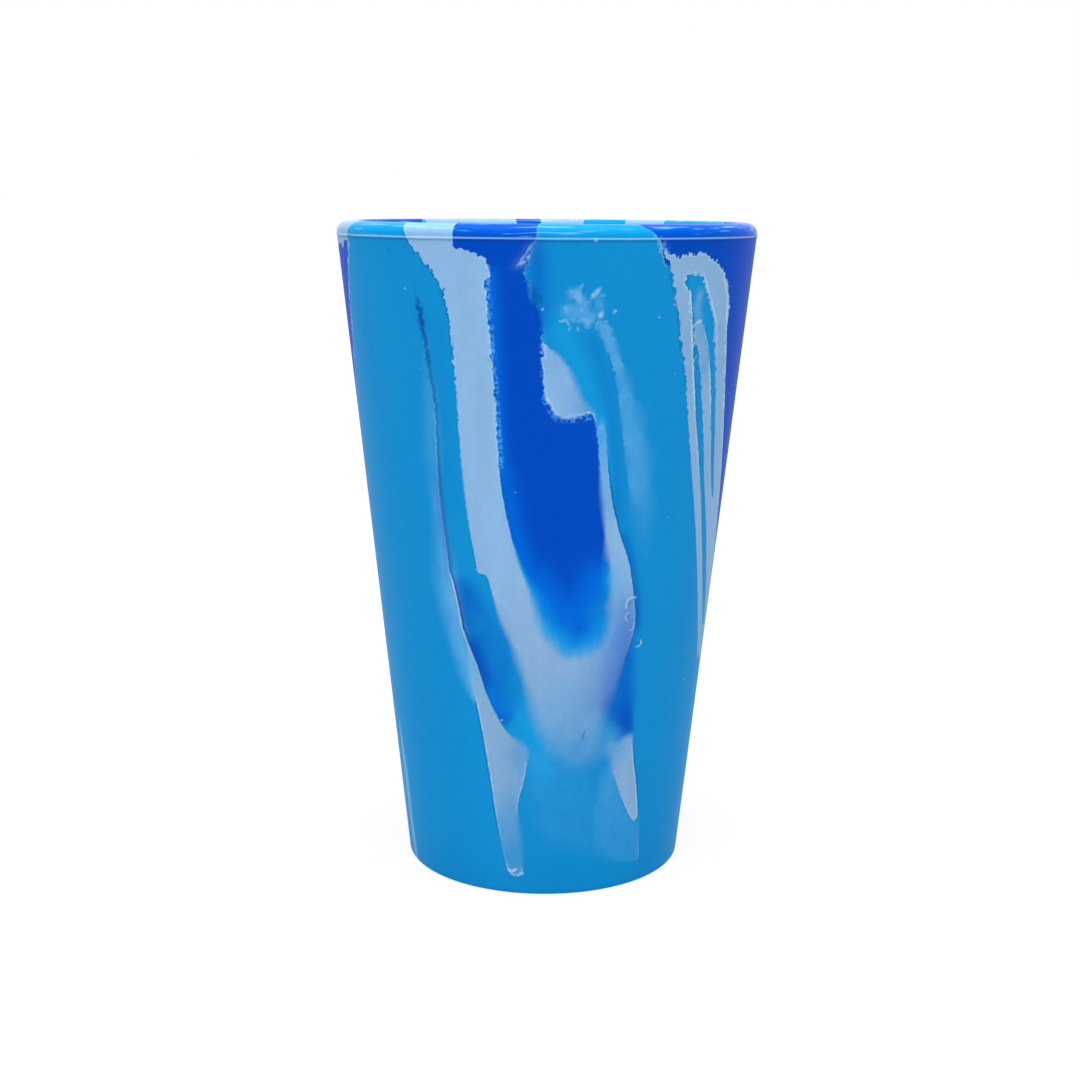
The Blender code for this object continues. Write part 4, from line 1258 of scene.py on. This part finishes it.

    # Crumbs are strewn into the cobalt along its torn edges, and painted highlights are drawn out
    # round the lip as glints
    strewn = nodes.times(strewn, nodes.span(mottle("crumbling"), -0.12, 0.14),
                         nodes.span(edgeLight, 0.3, 0.7), 0.8)
    paintedGlints = nodes.times(nodes.span(mottle("paintedGlints"), 0.12, 0.42), litLip, 0.5)
    cells = nodes.put("TexVoronoi", {"Vector": place, "Scale": marbling["cellsPerMetre"]}).outputs
    chance = nodes.put("SeparateColor", {"Color": cells["Color"]}).outputs[0]
    pinholes = nodes.times(nodes.span(cells["Distance"], 0.045, 0.015),
                           nodes.span(chance, 0.66, 0.9), 0.5)
    dots = nodes.most(0.0, *(
        nodes.span(nodes.distance(place, (angle, level)), radius / 1000, radius / 3000)
        for angle, level, radius in specks
    ))
    curls = [(nodes.crescent(warped, *curl), strength) for *curl, strength in crescents]
    rings = nodes.most(0.0, *(nodes.times(curl[0], strength) for curl, strength in curls))
    hollowShade = nodes.most(0.0, *(nodes.times(curl[1], strength) for curl, strength in curls))
    # Painted shade and painted highlight of the edges, seam, parting line and ridges, then crumbs,
    # painted glints, grain, pinholes, specks, and the crescents' painted shade in the hollows and
    # painted highlight on the rings
    colour = nodes.coat(
        colour,
        (nodes.most(dark, paintedRidgeLines(-1)), colours["navy"]),
        (nodes.most(light, paintedRidgeLines(1)), colours["frost"]),
        (strewn, colours["crumb"]),
        (paintedGlints, colours["glint"]),
        (nodes.span(grain, -0.4, 0.4, 0.0, 0.05), colours["navy"]),
        (pinholes, colours["frost"]),
        (nodes.times(dots, 0.45), colours["frost"]),
        (nodes.times(hollowShade, 0.3), colours["navy"]),
        (nodes.times(rings, 0.6), colours["frost"]),
    )

    crumbs = nodes.times(crumbs, patchy, ragged)
    marks = {"peel": mottle("peel"), "crumbs": crumbs, "dark": dark, "light": light,
             "dots": dots, "rings": rings}
    relief = nodes.plus(*(nodes.times(mark, reliefs[kind]) for kind, mark in marks.items()))
    bump = nodes.put("Bump", {"Height": relief, "Strength": 1.0, "Distance": 0.001}).outputs[0]
    rough = nodes.span(height, partingLine, partingLine + cup["lipStraight"],
                       marbling["roughness"], marbling["lipRoughness"])
    rough = nodes.plus(rough, nodes.times(mottle("sheen"), 0.04))
    for socket, value in (("Base Color", colour), ("Normal", bump), ("Roughness", rough)):
        material.node_tree.links.new(value, shader.inputs[socket])
    shader.inputs["Specular IOR Level"].default_value = marbling["specular"]
    return material


print("cup: drawing the profile")
profilePlaces, profile = drawProfile()
for streak in streaks + veils:
    streak["loop"] = smoothLoop(toFlat(streak["outline"]))

print("cup: laying out", cup["columns"], "by", len(profilePlaces), "facets and cutting the streaks")
sheet = layFlatSheet()
cutSheet(sheet, [streak["loop"] for streak in streaks])

print("cup: marking the marbling on", len(sheet.data.vertices), "points")
markSheet(sheet)
owner = sortFaces(sheet)

print("cup: making the silicones")
silicones = {"cyan_silicone": makeSilicone("cyanSilicone")}
for slot, name in (("cobalt_silicone", "cobaltSilicone"), ("pale_silicone", "paleSilicone")):
    silicones[slot] = silicones["cyan_silicone"].copy()
    silicones[slot].name = name

print("cup: lifting", len(streaks), "streaks off the sheet")
lifted = [liftStreak(sheet, owner, index) for index in range(len(streaks))]
added = np.full(len(sheet.data.polygons) - len(owner), -1)
pick(sheet, "FACE", np.append(owner, added) >= 0)
extrude(cup["streakDepth"])

print("cup: rolling the wall up")
for piece, streak in zip(lifted, streaks):
    finishPiece(piece, streak["node"], slots[streak["layer"]])
finishPiece(sheet, "cup_body", "cyan_silicone")

stage = {
    "floorSize": 6,
    "floorWhite": 0.65,
    "floorGlow": 0.78,          # how much of the floor's white the camera sees at the cup
    "glowFrom": 0.08,           # and from here outwards more, up to all of it
    "glowTo": 0.3,
    "floorStrength": 1.08,
    "worldLight": 0.60,
    "lampSize": 0.9,
    "lampAim": 0.6,             # in heights of the cup
}

lamps = {
    "keyLight": {"place": (-0.55, -0.95, 0.85), "power": 2.8},
    "fillLight": {"place": (0.9, -0.8, 0.5), "power": 1.4},
    "topLight": {"place": (0.0, -0.15, 1.1), "power": 14.0},
}

white = (1, 1, 1, 1)


# White for the camera and in reflections, and shaded by the cup
def makeFloor():
    bpy.ops.object.select_all(action="DESELECT")
    bpy.ops.mesh.primitive_plane_add(size=stage["floorSize"], location=(0, 0, 0))
    floor = bpy.context.object
    floor.name = "floor"
    material = bpy.data.materials.new("floorWhite")
    material.use_nodes = True
    nodes = Nodes(material.node_tree)
    material.node_tree.nodes.clear()
    matt = nodes.put("BsdfDiffuse", {"Color": (stage["floorWhite"],) * 3 + (1,)}).outputs[0]
    glow = nodes.put("Emission", {"Color": white, "Strength": stage["floorStrength"]}).outputs[0]
    away = nodes.vector("LENGTH", nodes.put("TexCoord", {}).outputs["Object"])["Value"]
    share = nodes.span(away, stage["glowFrom"], stage["glowTo"], stage["floorGlow"], 1.0)
    share = nodes.times(nodes.seen(), share)
    mixed = nodes.put("MixShader", {0: share, 1: matt, 2: glow}).outputs[0]
    nodes.put("OutputMaterial", {"Surface": mixed})
    floor.data.materials.append(material)


def makeWorld():
    world = bpy.data.worlds.new("studio")
    bpy.context.scene.world = world
    world.use_nodes = True
    nodes = Nodes(world.node_tree)
    world.node_tree.nodes.clear()
    inputs = {0: nodes.seen(), 2: stage["worldLight"], 3: 1.0}
    strength = nodes.put("Mix", inputs, data_type="FLOAT").outputs[0]
    background = nodes.put("Background", {"Color": white, "Strength": strength}).outputs[0]
    nodes.put("OutputWorld", {"Surface": background})


def makeLamp(name, lamp):
    bpy.ops.object.light_add(type="AREA", location=lamp["place"])
    made = bpy.context.object
    made.name = name
    made.data.energy = lamp["power"]
    made.data.size = stage["lampSize"]
    aim = Vector((0, 0, cup["height"] * stage["lampAim"])) - made.location
    made.rotation_euler = aim.to_track_quat("-Z", "Y").to_euler()


view = {
    "distance": 0.36832,        # in front of the cup's axis
    "height": 0.14449,
    "pitch": 11.33,             # degrees downwards
    "roll": 0.38,
    "focal": 1.5730,            # in widths of the picture
    "centre": 0.50454,          # where the lens points, across the picture
    "sensor": 36,
}


def makeCamera():
    bpy.ops.object.camera_add(location=(0, -view["distance"], view["height"]))
    camera = bpy.context.object
    pitch = math.radians(view["pitch"])
    aim = Vector((0, math.cos(pitch), -math.sin(pitch)))
    camera.rotation_euler = aim.to_track_quat("-Z", "Y").to_euler()
    camera.rotation_euler.rotate_axis("Z", math.radians(view["roll"]))
    camera.data.sensor_width = view["sensor"]
    camera.data.lens = view["focal"] * view["sensor"]
    camera.data.shift_x = 0.5 - view["centre"]
    bpy.context.scene.camera = camera


print("studio: floor, light and camera")
makeFloor()
makeWorld()
for name, lamp in lamps.items():
    makeLamp(name, lamp)
makeCamera()
bpy.context.scene.view_settings.view_transform = "Standard"
